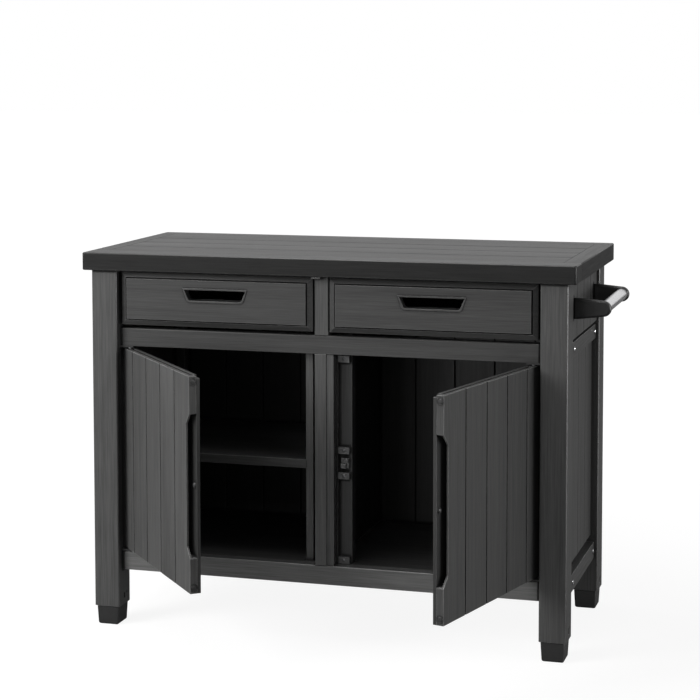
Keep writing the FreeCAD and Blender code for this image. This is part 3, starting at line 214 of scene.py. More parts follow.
class FittingSettings(bpy.types.PropertyGroup):
    """Metal and plastic fittings"""

    steel: FloatVectorProperty(
        name="Steel", description="Colour of the screws and pins",
        subtype="COLOR", size=3, default=(0.55, 0.55, 0.56), min=0, max=1,
    )
    bar: FloatVectorProperty(
        name="Handle bar", description="Colour of the handle's bar",
        subtype="COLOR", size=3, default=(0.52, 0.52, 0.53), min=0, max=1,
    )
    arm: FloatVectorProperty(
        name="Handle arms", description="Colour of the handle's arms",
        subtype="COLOR", size=3, default=(0.010, 0.010, 0.010), min=0, max=1,
    )
    catch: FloatVectorProperty(
        name="Catches", description="Colour of the catches and hinge plates",
        subtype="COLOR", size=3, default=(0.12, 0.12, 0.12), min=0, max=1,
    )
    recess_width: FloatProperty(
        name="Recess width", description="Width of the cross in a screw's head, as a share of it",
        default=0.26, min=0.05, max=0.6, subtype="FACTOR",
    )
    recess_reach: FloatProperty(
        name="Recess reach", description="Reach of the cross, as a share of the head's radius",
        default=0.62, min=0.2, max=0.9, subtype="FACTOR",
    )
    segments: IntProperty(
        name="Segments", description="Steps round a screw head or the bar",
        default=48, min=16, max=128,
    )
    arm_rounding: FloatProperty(
        name="Arm rounding", description="Rounding of the handle arms' edges",
        default=0.0050, min=0.0005, max=0.007, unit="LENGTH",
    )
    leg_plug: FloatProperty(
        name="Leg plug", description="Radius of the plugs low on the legs",
        default=0.0038, min=0.001, max=0.01, unit="LENGTH",
    )
    leg_plug_height: FloatProperty(
        name="Leg plug height", description="Height of those plugs above the leg's lower end",
        default=0.026, min=0.005, max=0.1, unit="LENGTH",
    )
    foot_corner: FloatProperty(
        name="Foot corner", description="Rounding of a foot cap's upright corners",
        default=0.0045, min=0.0005, max=0.02, unit="LENGTH",
    )
    foot_base: FloatProperty(
        name="Foot base", description="Rounding of a foot cap's lower edge",
        default=0.0050, min=0.0005, max=0.02, unit="LENGTH",
    )
    foot_groove: FloatProperty(
        name="Foot groove", description="Depth of the groove between a leg and its cap",
        default=0.0020, min=0, max=0.01, unit="LENGTH",
    )
    foot_draft: FloatProperty(
        name="Foot draft", description="How much each side of a foot cap leans in downwards",
        default=0.0026, min=0, max=0.01, unit="LENGTH",
    )
    catch_rounding: FloatProperty(
        name="Catch rounding", description="Rounding of the edges of catches and striker",
        default=0.0025, min=0.0001, max=0.01, unit="LENGTH",
    )
    plate_rounding: FloatProperty(
        name="Plate rounding", description="Rounding of the hinge plates' edges",
        default=0.0006, min=0.0001, max=0.01, unit="LENGTH",
    )


class StageSettings(bpy.types.PropertyGroup):
    """Camera, lamps and floor"""

    eye: FloatVectorProperty(
        name="Eye", description="Place of the camera",
        size=3, default=(1.26883, -4.48078, 1.36915), subtype="TRANSLATION", unit="LENGTH",
    )
    yaw: FloatProperty(name="Yaw", description="Turn of the camera to the right", default=-0.2993)
    pitch: FloatProperty(name="Pitch", description="Tilt of the camera upwards", default=-0.0757)
    roll: FloatProperty(name="Roll", description="Roll of the camera", default=-0.0031)
    lens: FloatProperty(name="Lens", description="Focal length in millimetres", default=103.567)
    shift_x: FloatProperty(name="Shift right", description="Lens shift", default=0.07856)
    shift_y: FloatProperty(name="Shift up", description="Lens shift", default=-0.20528)
    ambient: FloatProperty(
        name="Ambient", description="Brightness of the room's own light",
        default=0.15, min=0, max=4,
    )
    key: FloatProperty(
        name="Key lamp", description="Power of the lamp at the front left",
        default=112.0, min=0, unit="POWER",
    )
    fill: FloatProperty(
        name="Fill lamp", description="Power of the low lamp in front",
        default=23.0, min=0, unit="POWER",
    )
    side: FloatProperty(
        name="Side lamp", description="Power of the lamp on the right",
        default=38.0, min=0, unit="POWER",
    )
    top: FloatProperty(
        name="Top lamp", description="Power of the lamp above",
        default=26.0, min=0, unit="POWER",
    )
    rim: FloatProperty(
        name="Rim lamps", description="Power of the two lamps that only draw bright edges",
        default=200.0, min=0, unit="POWER",
    )
    floor_shade: FloatProperty(
        name="Floor near the cart", description="Own brightness of the floor under the cart",
        default=0.9, min=0, max=1, subtype="FACTOR",
    )
    floor_mirrored: FloatProperty(
        name="Floor in gloss", description="Share of the floor's own brightness that gloss shows",
        default=0.1, min=0, max=1, subtype="FACTOR",
    )
    floor_near: FloatProperty(
        name="Floor shade ends", description="Distance at which the floor starts to turn white",
        default=0.9, min=0, unit="LENGTH",
    )
    floor_far: FloatProperty(
        name="White floor starts", description="Distance from which the floor is white",
        default=2.4, min=0, unit="LENGTH",
    )
    floor_seen: FloatProperty(
        name="Floor grey", description="Grey that takes the shadow where the floor is seen",
        default=0.18, min=0, max=1, subtype="FACTOR",
    )
    floor_lit: FloatProperty(
        name="Floor bounce", description="Grey from which the floor throws light on the cart",
        default=0.75, min=0, max=1, subtype="FACTOR",
    )


# Shader helpers
def feed(tree, node, inputs):
    """Set or link a node's inputs. Each value is a plain one or a socket."""
    for place, value in inputs.items():
        if isinstance(value, bpy.types.NodeSocket):
            tree.links.new(value, node.inputs[place])
        else:
            node.inputs[place].default_value = value


def add_node(tree, kind, inputs=None, **attributes):
    """A shader node with its attributes and inputs."""
    node = tree.nodes.new("ShaderNode" + kind)
    for name, value in attributes.items():
        setattr(node, name, value)
    feed(tree, node, inputs or {})
    return node


def new_group(name, inputs, outputs):
    """A shader node group. Its inputs are labels with values, its outputs labels of numbers."""
    tree = bpy.data.node_groups.new(name, "ShaderNodeTree")
    for label, value in inputs.items():
        kind = "NodeSocketVector" if isinstance(value, tuple) else "NodeSocketFloat"
        socket = tree.interface.new_socket(name=label, in_out="INPUT", socket_type=kind)
        socket.default_value = value
    for label in outputs:
        tree.interface.new_socket(name=label, in_out="OUTPUT", socket_type="NodeSocketFloat")
    return tree, tree.nodes.new("NodeGroupInput"), tree.nodes.new("NodeGroupOutput")


def placed_group(tree, name, inputs):
    """A group node with its own values."""
    return add_node(tree, "Group", inputs, node_tree=bpy.data.node_groups[name])


def add_math(tree, operation, first, second):
    """A maths node."""
    return add_node(tree, "Math", {0: first, 1: second}, operation=operation).outputs[0]


def add_remap(tree, value, low, high, new_low=0.0, new_high=1.0):
    """A clamped change of range."""
    return add_node(tree, "MapRange", {
        "Value": value, "From Min": low, "From Max": high, "To Min": new_low, "To Max": new_high,
    }).outputs["Result"]


def add_noise(tree, vector, detail, roughness, scale=1.0):
    """Noise over a vector."""
    return add_node(tree, "TexNoise", {
        "Vector": vector, "Scale": scale, "Detail": detail, "Roughness": roughness,
    }).outputs["Fac"]


def mixed_colour(tree, factor, first, second):
    """A colour between two others. Each is a plain colour or a socket."""
    first, second = (
        colour if isinstance(colour, bpy.types.NodeSocket) else (*colour, 1.0)
        for colour in (first, second)
    )
    # 6, 7 and 2 are the sockets of a Mix node that hold colours
    return add_node(tree, "Mix", {0: factor, 6: first, 7: second}, data_type="RGBA").outputs[2]


def object_place(tree):
    """Object coordinates."""
    return add_node(tree, "TexCoord").outputs["Object"]


def scaled_place(tree, stretch, factor):
    """Object coordinates times a stretch vector and one more factor."""
    inputs = {0: object_place(tree), 1: stretch}
    first = add_node(tree, "VectorMath", inputs, operation="MULTIPLY").outputs["Vector"]
    inputs = {0: first, "Scale": factor}
    return add_node(tree, "VectorMath", inputs, operation="SCALE").outputs["Vector"]


def make_grain_group():
    """Brushed wood grain: fine fibres over broad streaks, stretched along one axis."""
    tree, start, end = new_group("Brushed Grain", {"Stretch": (1, 1, 1)}, ("Shade", "Height"))
    parts = []
    for closeness, detail, roughness, share in GRAIN_LAYERS:
        place = scaled_place(tree, start.outputs["Stretch"], closeness)
        parts.append(add_math(tree, "MULTIPLY", add_noise(tree, place, detail, roughness), share))
    fine, broad, cloud = parts
    streaks = add_math(tree, "ADD", fine, broad)
    everything = add_math(tree, "ADD", streaks, cloud)
    feed(tree, end, {
        "Shade": add_remap(tree, everything, low=0.36, high=0.64),
        "Height": add_remap(tree, streaks, low=0.25, high=0.55),
    })


def make_speckle_group():
    """Fine moulded texture: small even bumps with a slow change of gloss."""
    tree, start, end = new_group("Moulded Speckle", {"Stretch": (1, 1, 1)}, ("Shade", "Height"))
    stretch = start.outputs["Stretch"]
    small = add_noise(tree, scaled_place(tree, stretch, 1.0), detail=2.0, roughness=0.5)
    large = add_noise(tree, scaled_place(tree, stretch, 0.05), detail=3.0, roughness=0.5)
    feed(tree, end, {
        "Shade": add_remap(tree, large, low=0.3, high=0.7),
        "Height": add_remap(tree, small, low=0.3, high=0.7),
    })


def make_edge_group():
    """Mask of wear and painted highlight on outer edges: how far a rounded normal leans
    away from the true one.

    It is read as the cosine of the angle between the two. Edges that look upwards, where the
    light and the wear fall, get all of the mask, the others a share.
    """
    tree, start, end = new_group("Edge Wear and Highlight", {"Amount": 1.0, "Sides": 0.15}, ("Mask",))
    rounded = add_node(tree, "Bevel", {"Radius": EDGE_REACH}, samples=4).outputs["Normal"]
    true = add_node(tree, "NewGeometry").outputs["Normal"]
    cosine = add_node(tree, "VectorMath", {0: rounded, 1: true}, operation="DOT_PRODUCT")
    lean = add_remap(tree, cosine.outputs["Value"], low=0.995, high=0.86)
    patches = add_noise(tree, object_place(tree), detail=3.0, roughness=0.6, scale=60.0)
    patchy = add_remap(tree, patches, low=0.3, high=0.6, new_low=0.45)
    parts = add_node(tree, "SeparateXYZ", {0: rounded})
    upward = add_remap(tree, parts.outputs["Z"], low=0.0, high=0.5)
    share = add_math(tree, "MAXIMUM", upward, start.outputs["Sides"])
    mask = add_math(tree, "MULTIPLY", add_math(tree, "MULTIPLY", lean, patchy), share)
    feed(tree, end, {"Mask": add_math(tree, "MULTIPLY", mask, start.outputs["Amount"])})


def make_groove_group():
    """Two masks of painted shade, partly dust: in narrow grooves and joints, and in wide corners.

    Each is 1 where little is open within reach.
    """
    tree, start, end = new_group("Groove Shade", {"Grooves": 1.0, "Corners": 0.5}, ("Mask",))
    masks = []
    for label, reach, clear, closed in SHADE_MASKS:
        open_sky = add_node(tree, "AmbientOcclusion", {"Distance": reach}, samples=6)
        mask = add_remap(tree, open_sky.outputs["AO"], clear, closed)
        masks.append(add_math(tree, "MULTIPLY", mask, start.outputs[label]))
    feed(tree, end, {"Mask": add_math(tree, "MAXIMUM", *masks)})


def surface(name, group, stretch, dark, light, rough, relief, gloss, metallic=0.0,
            edge=None, sides=0.0):
    """One surface material: colour, roughness and relief come from a texture group.

    With an edge colour it gets wear and a painted highlight at its edges, and painted shade,
    partly dust, in its grooves and corners. sides is the wear and painted highlight of the
    edges that do not look upwards, as a share of the others'.
    """
    material = bpy.data.materials.new(name)
    material.use_nodes = True
    tree = material.node_tree
    texture = placed_group(tree, group, {"Stretch": stretch}).outputs
    colour = mixed_colour(tree, texture["Shade"], dark, light)
    roughness = add_remap(tree, texture["Shade"], 0.0, 1.0, rough + DULLER, rough - GLOSSIER)
    if edge is not None:
        settings = bpy.context.scene.cart_resin
        # Painted highlight and wear on the edges
        edges = placed_group(tree, "Edge Wear and Highlight", {"Amount": settings.edge_wear_and_highlight, "Sides": sides})
        colour = mixed_colour(tree, edges.outputs["Mask"], colour, edge)
        # Painted shade, partly dust: grooves and corners are darkened in colour where little is
        # open
        mask = placed_group(tree, "Groove Shade", {
            "Grooves": settings.groove_shade, "Corners": settings.corner_shade,
        }).outputs["Mask"]
        colour = mixed_colour(tree, mask, colour, toned(dark, GROOVE_TONE))
        roughness = add_math(tree, "MAXIMUM", roughness, mask)
    bump = add_node(tree, "Bump", {
        "Distance": relief, "Strength": BUMP_STRENGTH, "Height": texture["Height"],
    })
    feed(tree, tree.nodes["Principled BSDF"], {
        "Base Color": colour, "Roughness": roughness, "Metallic": metallic,
        "Specular IOR Level": gloss, "Normal": bump.outputs["Normal"],
    })
    return material


def toned(colour, tone):
    """A colour made darker or lighter."""
    return [channel * tone for channel in colour]


def resin(name, axis, tone=1.0, sides=0.12, sheen=1.0):
    """Resin with its grain along one axis.

    tone makes its colours darker or lighter, and the tones set for the pieces paint light and
    shade onto them; sides is the share of wear and painted highlight on edges that do not look
    upwards, and sheen is a share of the resin's gloss.
    """
    settings = bpy.context.scene.cart_resin
    stretch = [1.0 / settings.fibre_width] * 3
    stretch[axis] = 1.0 / settings.fibre_length
    return surface(
        name, "Brushed Grain", stretch, toned(settings.dark, tone), toned(settings.light, tone),
        settings.roughness, settings.relief, settings.sheen_level * sheen,
        edge=toned(settings.edge, tone), sides=sides,
    )


def moulded(name, colour, rough, depth):
    """Plain moulded plastic with a fine texture."""
    gloss = bpy.context.scene.cart_resin.sheen_level
    dark = toned(colour, tone=0.8)
    return surface(name, "Moulded Speckle", [SPECKLES] * 3, dark, colour, rough, depth, gloss)


def steel(name, colour, stretch, rough):
    """Brushed or polished steel."""
    return surface(
        name, "Brushed Grain", stretch, toned(colour, tone=0.85), colour, rough, STEEL_RELIEF,
        gloss=0.5, metallic=1.0,
    )


# Mesh helpers
def add_object(name, data):
    """A new object in the scene."""
    item = bpy.data.objects.new(name, data)
    bpy.context.scene.collection.objects.link(item)
    return item


def grid_faces(rows, columns):
    """Four-sided faces between the rings of a grid, whose last column joins its first."""
    row = np.arange(rows - 1)[:, None]
    column = np.arange(columns)[None, :]
    following = (column + 1) % columns
    low = row * columns
    high = low + columns
    return np.stack(
        [low + column, high + column, high + following, low + following], axis=-1,
    ).reshape(-1, 4)


def capped(rings, first_pole, last_pole):
    """A closed skin from rings of points and a pole at each end.

    rings has one row of points for each ring. Neighbouring rings are joined
    by four-sided faces, and each end ring by triangles to its pole.
    """
    rows, columns = rings.shape[:2]
    points = np.concatenate([rings.reshape(-1, 3), [first_pole, last_pole]])
    column = np.arange(columns)
    following = (column + 1) % columns
    pole = np.full(columns, rows * columns)
    last = (rows - 1) * columns
    ends = np.concatenate([
        np.stack([pole, column, following], axis=-1),
        np.stack([last + column, pole + 1, last + following], axis=-1),
    ])
    return points, grid_faces(rows, columns), ends


def enclosed_volume(points, triangles):
    """Six times the volume inside a skin, below zero if its faces point inwards."""
    first, second, third = (points[triangles[:, corner]] for corner in range(3))
    return np.einsum("ij,ij->i", first, np.cross(second, third)).sum()


def put_skins(name, skins):
    """One mesh object at the origin from closed skins, each with its faces outwards."""
    counts = np.cumsum([0] + [len(points) for points, quads, ends in skins])
    quads_out = []
    ends_out = []
    for (points, quads, ends), start in zip(skins, counts):
        triangles = np.concatenate([quads[:, :3], quads[:, [0, 2, 3]], ends])
        if enclosed_volume(points, triangles) < 0:
            quads = quads[:, ::-1]
            ends = ends[:, ::-1]
        quads_out.append(quads + start)
        ends_out.append(ends + start)
    mesh = bpy.data.meshes.new(name)
    mesh.from_pydata(
        np.concatenate([points for points, quads, ends in skins]).tolist(), [],
        np.concatenate(quads_out).tolist() + np.concatenate(ends_out).tolist(),
    )
    mesh.update()
    smooth = np.arange(len(mesh.polygons)) < sum(len(quads) for quads in quads_out)
    mesh.polygons.foreach_set("use_smooth", smooth)
    item = add_object(name, mesh)
    even = item.modifiers.new("Even shading", "WEIGHTED_NORMAL")
    even.weight = 100
    even.keep_sharp = True
    return item


def lathe(radii, heights, segments, relief=None):
    """Surface of revolution round z.

    Point (i, j) lies at radius r(i) and height h(i), turned by j steps round
    the axis. The first and last radius are 0 and become the poles. relief, a
    function of x, y and z, is added to the heights.
    """
    angle = np.arange(segments) * 2 * math.pi / segments
    radii = np.asarray(radii, dtype=float)
    heights = np.asarray(heights, dtype=float)
    x = radii[1:-1, None] * np.cos(angle)
    y = radii[1:-1, None] * np.sin(angle)
    z = np.repeat(heights[1:-1, None], segments, axis=1)
    top = heights[0]
    if relief is not None:
        z = z + relief(x, y, z)
        top = top + relief(0.0, 0.0, top)
    return capped(np.stack([x, y, z], axis=-1), [0, 0, top], [0, 0, heights[-1]])


def turned_to(skin, place, direction):
    """A skin whose z axis is turned to a direction and moved to a place."""
    points, quads, ends = skin
    turn = np.array(Vector(direction).to_track_quat("Z", "Y").to_matrix())
    return points @ turn.T + np.asarray(place), quads, ends


def solids_of(node):
    """The points of every loose solid of a CAD node.

    Equal points get one number, then each point takes the smallest number
    among the points it shares a triangle with, until nothing changes.
    """
    mesh = frame["nodes"][node].data
    points = np.empty(len(mesh.vertices) * 3)
    mesh.vertices.foreach_get("co", points)
    points = points.reshape(-1, 3)
    mesh.calc_loop_triangles()
    corners = np.empty(len(mesh.loop_triangles) * 3, dtype=np.int64)
    mesh.loop_triangles.foreach_get("vertices", corners)
    same = np.unique(np.round(points, 6), axis=0, return_inverse=True)[1].ravel()
    triangles = same[corners.reshape(-1, 3)]
    label = np.arange(same.max() + 1)
    while True:
        lowest = label[triangles].min(axis=1)
        previous = label.copy()
        for corner in range(3):
            np.minimum.at(label, triangles[:, corner], lowest)
        if np.array_equal(previous, label):
            break
    kinds = label[same]
    return [points[kinds == kind] for kind in np.unique(kinds)]


def head_of(points, direction):
    """Where a fitting's round head sits: its foot on the axis, its radius and its height.

    Seen along the direction the head is a circle, so the middle of the
    points' spread across it is the axis, and the points at the full radius
    lie on the head's rim.
    """
    direction = np.asarray(direction, dtype=float)
    across = np.cross(direction, [0.0, 0.0, 1.0])
    axes = np.stack([across, [0.0, 0.0, 1.0], direction])
    local = points @ axes.T
    middle = (local.max(axis=0) + local.min(axis=0)) / 2
    radius = (local[:, 1].max() - local[:, 1].min()) / 2
    reach = np.linalg.norm(local[:, :2] - middle[:2], axis=1)
    foot = local[reach > radius * RIM_FROM, 2].min()
    tip = local[:, 2].max()
    return axes.T @ np.array([middle[0], middle[1], foot]), radius, tip - foot


def round_edges(node, width, segments=2):
    """Rounded edges on a CAD node: merge, clear flat seams, then bevel."""
    item = frame["nodes"][node]
    merge = item.modifiers.new("Merge", "WELD")
    merge.merge_threshold = MERGE_WITHIN
    flat = item.modifiers.new("Flat faces", "DECIMATE")
    flat.decimate_type = "DISSOLVE"
    flat.angle_limit = FLAT_WITHIN
    bevel = item.modifiers.new("Edge rounding", "BEVEL")
    bevel.width = width
    bevel.segments = segments
    bevel.limit_method = "ANGLE"
    bevel.angle_limit = SHARP_FROM
    bevel.use_clamp_overlap = True


def paint(node, material):
    """Give a CAD node a material in its own slots."""
    item = frame["nodes"][node]
    if not item.material_slots:
        item.data.materials.append(material)
    for slot in item.material_slots:
        slot.link = "OBJECT"
        slot.material = material


def stand_for(node, skins, body, material):
    """A new piece that stands for a CAD node and rides on its body."""
    item = put_skins(node + "_detail", skins)
    item.data.materials.append(material)
    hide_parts(node)
    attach(item, body)


def darken_right_of(material, place, share):
    """Paint a shadow into a material: darken it by a share on the right of a place along X."""
    tree = material.node_tree
    shader = tree.nodes["Principled BSDF"]
    across = add_node(tree, "SeparateXYZ", {0: object_place(tree)}).outputs["X"]
    factor = add_remap(tree, across, place, place + SHADE_FADES, new_high=share)
    before = shader.inputs["Base Color"].links[0].from_socket
    feed(tree, shader, {"Base Color": mixed_colour(tree, factor, before, (0, 0, 0))})


def finish_nodes(nodes, material, rounding=1.0):
    """Paint some boards and round their edges by a share of the boards' own rounding."""
    width = bpy.context.scene.cart_resin.edge_round * rounding
    for node in nodes:
        paint(node, material)
        round_edges(node, width)


def door_opening(hinge):
    """How far a door stands open, in radians: its hinge can turn back by that much."""
    for joint in frame["joints"]:
        if joint["name"] == hinge:
            return math.radians(-joint["range_deg"][0])
    raise ValueError("no joint named " + hinge)


class CART_OT_textures(bpy.types.Operator):
    """Make the shared texture groups"""

    bl_idname = "cart.textures"
    bl_label = "Texture groups"

    def execute(self, context):
        make_grain_group()
        make_edge_group()
        make_groove_group()
        make_speckle_group()
        return {"FINISHED"}


class CART_OT_worktop(bpy.types.Operator):
    """Finish the boards of the worktop"""

    bl_idname = "cart.worktop"
    bl_label = "Worktop"

    def execute(self, context):
        # Painted shade: the worktop's tones are set for the light on it, its end boards darker
        # still, as shaded copies of one resin; sides=1.0 paints a highlight on the rounded
        # corners
        long_boards = resin("Worktop resin X", X, tone=0.3, sides=1.0, sheen=0.4)
        finish_nodes(WORKTOP_ALONG_X, long_boards, rounding=0.4)
        finish_nodes(("top_deck",), long_boards, rounding=2)
        finish_nodes(WORKTOP_ALONG_Y, resin("Worktop resin Y", Y, tone=0.18, sheen=0.4))
        return {"FINISHED"}


class CART_OT_frame(bpy.types.Operator):
    """Finish the legs, rails, posts and panels of the frame"""

    bl_idname = "cart.frame"
    bl_label = "Frame"

    def execute(self, context):
        # Painted light and shade: the tones of these pieces of one resin are set for the light on
        # each, the bottom rail much lighter for the little light that reaches it low down
        finish_nodes(RAILS_ALONG_X, resin("Rail resin X", X, tone=0.72))
        finish_nodes(("bottom_rail",), resin("Lower rail resin", X, tone=2.05))
        finish_nodes(RAILS_ALONG_Y, resin("Rail resin Y", Y))
        finish_nodes(LEGS, resin("Leg resin", Z, tone=1.15))
        finish_nodes(POSTS, resin("Post resin", Z, tone=1.25))
        # Painted shadow: the post's right flange is darkened in its colour, for the shade it lies
        # in
        post_with_painted_shadow = resin("Post resin with painted shadow", Z, tone=1.25)
        darken_right_of(post_with_painted_shadow, FLANGE_STARTS, context.scene.cart_resin.flange_shade)
        finish_nodes(("centre_post",), post_with_painted_shadow)
        finish_nodes(PANELS, resin("Panel resin", Z))
        return {"FINISHED"}


class CART_OT_inside(bpy.types.Operator):
    """Finish the boards inside and the back"""

    bl_idname = "cart.inside"
    bl_label = "Inside boards"

    def execute(self, context):
        # Painted shade: the inside boards, the back and partition most, are darkened for the
        # shade inside the cart
        finish_nodes(INSIDE_ALONG_X, resin("Shelf resin", X, tone=0.7))
        finish_nodes(INSIDE_ALONG_Y, resin("Runner resin", Y, tone=0.6))
        finish_nodes(INSIDE_UPRIGHT, resin("Back resin", Z, tone=0.17))
        return {"FINISHED"}


class CART_OT_doors(bpy.types.Operator):
    """Finish the plank doors"""

    bl_idname = "cart.doors"
    bl_label = "Doors"

    def execute(self, context):
        # Painted light and shade: door fronts lighter, door backs darker, set for the light on
        # each; sides=0.4 paints highlights on their side edges
        finish_nodes(DOOR_FRONTS, resin("Door resin", Z, tone=1.12, sides=0.4), rounding=1.75)
        finish_nodes(DOOR_BACKS, resin("Door back resin", Z, tone=0.55))
        return {"FINISHED"}


class CART_OT_drawers(bpy.types.Operator):
    """Finish the drawer fronts and trays"""

    bl_idname = "cart.drawers"
    bl_label = "Drawers"

    def execute(self, context):
        # Painted shade: the drawer fronts are darkened for the shade under the worktop; sides=0.4
        # paints highlights on their side edges
        front = resin("Drawer resin", X, tone=0.68, sides=0.4)
        finish_nodes(DRAWER_FRONTS, front, rounding=0.6)
        colour = context.scene.cart_resin.trays
        finish_nodes(DRAWER_TRAYS, moulded("Tray resin", colour, rough=0.6, depth=0.0001))
        return {"FINISHED"}


def foot_skin(low, high, settings):
    """A foot cap: rounded rectangles stacked from the leg down to the floor.

    Ring i has half sizes that are the cap's own less an inset: a small groove
    under the leg, then the draft, which grows evenly towards the floor, and a
    quarter circle at the lower edge. In each ring, point j is the corner
    centre plus the corner radius times (cos a, sin a), a running evenly
    through one quarter turn per corner. The radius is the cap's own less 0.4
    of the inset, and at least 0.3 of the cap's own.
    """
    half = (high - low) / 2
    middle = (high + low) / 2
    tall = high[2] - low[2]
    groove = settings.foot_groove
    base = settings.foot_base
    own = settings.foot_corner
    turn = np.linspace(0, math.pi / 2, FOOT_RINGS)
    heights = np.concatenate([
        [tall, tall - groove, tall - groove * 1.5], base * (1 - np.sin(turn)),
    ])
    insets = np.concatenate([[groove, groove, 0.0], base * (1 - np.cos(turn))])
    insets = insets + settings.foot_draft * (1 - heights / tall)
    quarter = np.linspace(0, math.pi / 2, FOOT_CORNER_POINTS)
    angle = (quarter[None, :] + np.arange(4)[:, None] * math.pi / 2).ravel()
    side_x = np.repeat([1, -1, -1, 1], len(quarter))
    side_y = np.repeat([1, 1, -1, -1], len(quarter))
    corner = np.maximum(own - insets * 0.4, own * 0.3)[:, None]
    x = side_x * (half[0] - insets[:, None] - corner) + corner * np.cos(angle)
    y = side_y * (half[1] - insets[:, None] - corner) + corner * np.sin(angle)
    z = np.repeat(heights[:, None], len(angle), axis=1)
    rings = np.stack([x + middle[0], y + middle[1], z + low[2]], axis=-1)
    return capped(rings, [middle[0], middle[1], high[2]], [middle[0], middle[1], low[2]])


class CART_OT_feet(bpy.types.Operator):
    """Make the rounded foot caps"""

    bl_idname = "cart.feet"
    bl_label = "Foot caps"

    def execute(self, context):
        settings = context.scene.cart_fittings
        caps = context.scene.cart_resin.caps
        material = moulded("Foot cap", caps, rough=0.5, depth=0.0001)
        for node in FOOT_CAPS:
            low, high = (np.array(corner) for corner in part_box(node))
            stand_for(node, [foot_skin(low, high, settings)], "cabinet", material)
        return {"FINISHED"}


def screw_skin(head, height, length):
    """Domed cross-head screw: its head stands on z = 0 and its shank goes down.

    Over the dome, which spans 0.94 of the radius, the height falls by 0.45 of
    itself with the square of the radius. The rim drops to 0.4 of the height,
    and the shank has 0.4 of the radius. The cross is pressed in by half of the
    height where x or y is near 0 and the radius is short.
    """
    settings = bpy.context.scene.cart_fittings
    share = np.linspace(0, 1, SCREW_RINGS)
    shank = head * 0.4
    radii = np.concatenate([share * head * 0.94, [head, head, shank, shank, 0.0]])
    heights = np.concatenate([
        height - 0.45 * height * share ** 2, [height * 0.4, 0.0, 0.0, -length, -length],
    ])
    half = head * settings.recess_width / 2
    reach = head * settings.recess_reach

    def cross(x, y, z):
        """Depth of the cross: full well inside it, with slanted sides and ends."""
        near = np.minimum(np.abs(x), np.abs(y))
        far = np.maximum(np.abs(x), np.abs(y))
        width = np.clip((half - near) / (half * 0.35), 0, 1)
        inside = width * np.clip((reach - far) / (reach * 0.1), 0, 1)
        on_dome = z > height * 0.45
        return -0.5 * height * inside * on_dome

    return lathe(radii, heights, settings.segments, cross)


def plug_skin(head, height, length):
    """Round plug on a door's edge: a rim, a groove and a low dome inside it.

    Over the dome, which spans 0.68 of the radius, the height falls by 0.2 of
    itself with the square of the radius. It then drops into the groove, comes
    up to the rim and turns down its side, to a stem of 0.3 of the radius.
    """
    dome = np.linspace(0, 1, PLUG_RINGS)
    stem = head * 0.3
    radii = np.concatenate([dome * head * 0.68, head * PLUG_RIM[:, 0], [stem, stem, 0.0]])
    heights = np.concatenate([
        height * (1 - 0.2 * dome ** 2), height * PLUG_RIM[:, 1], [0.0, -length, -length],
    ])
    return lathe(radii, heights, bpy.context.scene.cart_fittings.segments)


def stud_skin(head, height):
    """Round stud: radius r sin a, height h times the root of cos a, a from 0 to 90 degrees."""
    turn = np.linspace(0, math.pi / 2, STUD_RINGS)
    radii = np.concatenate([head * np.sin(turn), [0.0]])
    heights = np.concatenate([height * np.sqrt(np.clip(np.cos(turn), 0, 1)), [0.0]])
    return lathe(radii, heights, bpy.context.scene.cart_fittings.segments)


class CART_OT_leg_plugs(bpy.types.Operator):
    """Make the small dark plugs on the left and right faces of the legs, whose near-black colour
    is painted shade that stands for dark holes
    """

    bl_idname = "cart.leg_plugs"
    bl_label = "Leg plugs"

    def execute(self, context):
        settings = context.scene.cart_fittings
        # Painted shade: the plugs' near-black colour stands for the darkness of holes
        colour = toned(settings.arm, tone=0.4)
        dark = moulded("Leg plug plastic", colour, rough=0.6, depth=0.00005)
        radius = settings.leg_plug
        stand = radius * LEG_PLUG_STAND
        skins = []
        for leg in LEGS:
            low, high = (np.array(corner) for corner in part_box(leg))
            depth = low[1] + (high[1] - low[1]) * LEG_PLUG_DEPTH
            for x, side in ((low[0], -1), (high[0], 1)):
                foot = (x - side * stand, depth, low[2] + settings.leg_plug_height)
                skins.append(turned_to(stud_skin(radius, stand * 2), foot, (side, 0, 0)))
        item = put_skins("leg_plugs", skins)
        item.data.materials.append(dark)
        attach(item, "cabinet")
        return {"FINISHED"}


class CART_OT_screws(bpy.types.Operator):
    """Make the cross-head screws of the side rails and catches"""

    bl_idname = "cart.screws"
    bl_label = "Screws"

    def execute(self, context):
        colour = context.scene.cart_fittings.steel
        chrome = steel("Screw steel", colour, stretch=(300, 300, 300), rough=0.2)
        sides = []
        for points in solids_of("side_rail_screws"):
            outward = (math.copysign(1, points[:, 0].mean()), 0, 0)
            sides.append(self.make_screw(points, outward))
        stand_for("side_rail_screws", sides, "cabinet", chrome)
        dark = toned(colour, tone=0.2)
        dull = steel("Catch screw steel", dark, stretch=(300, 300, 300), rough=0.35)
        catches = [self.make_screw(points, (0, -1, 0)) for points in solids_of("catch_screws")]
        stand_for("catch_screws", catches, "cabinet", dull)
        return {"FINISHED"}

    def make_screw(self, points, outward):
        """The screw that stands for one solid, with its head outwards."""
        foot, radius, height = head_of(points, outward)
        return turned_to(screw_skin(radius, height, radius * 2), foot, outward)


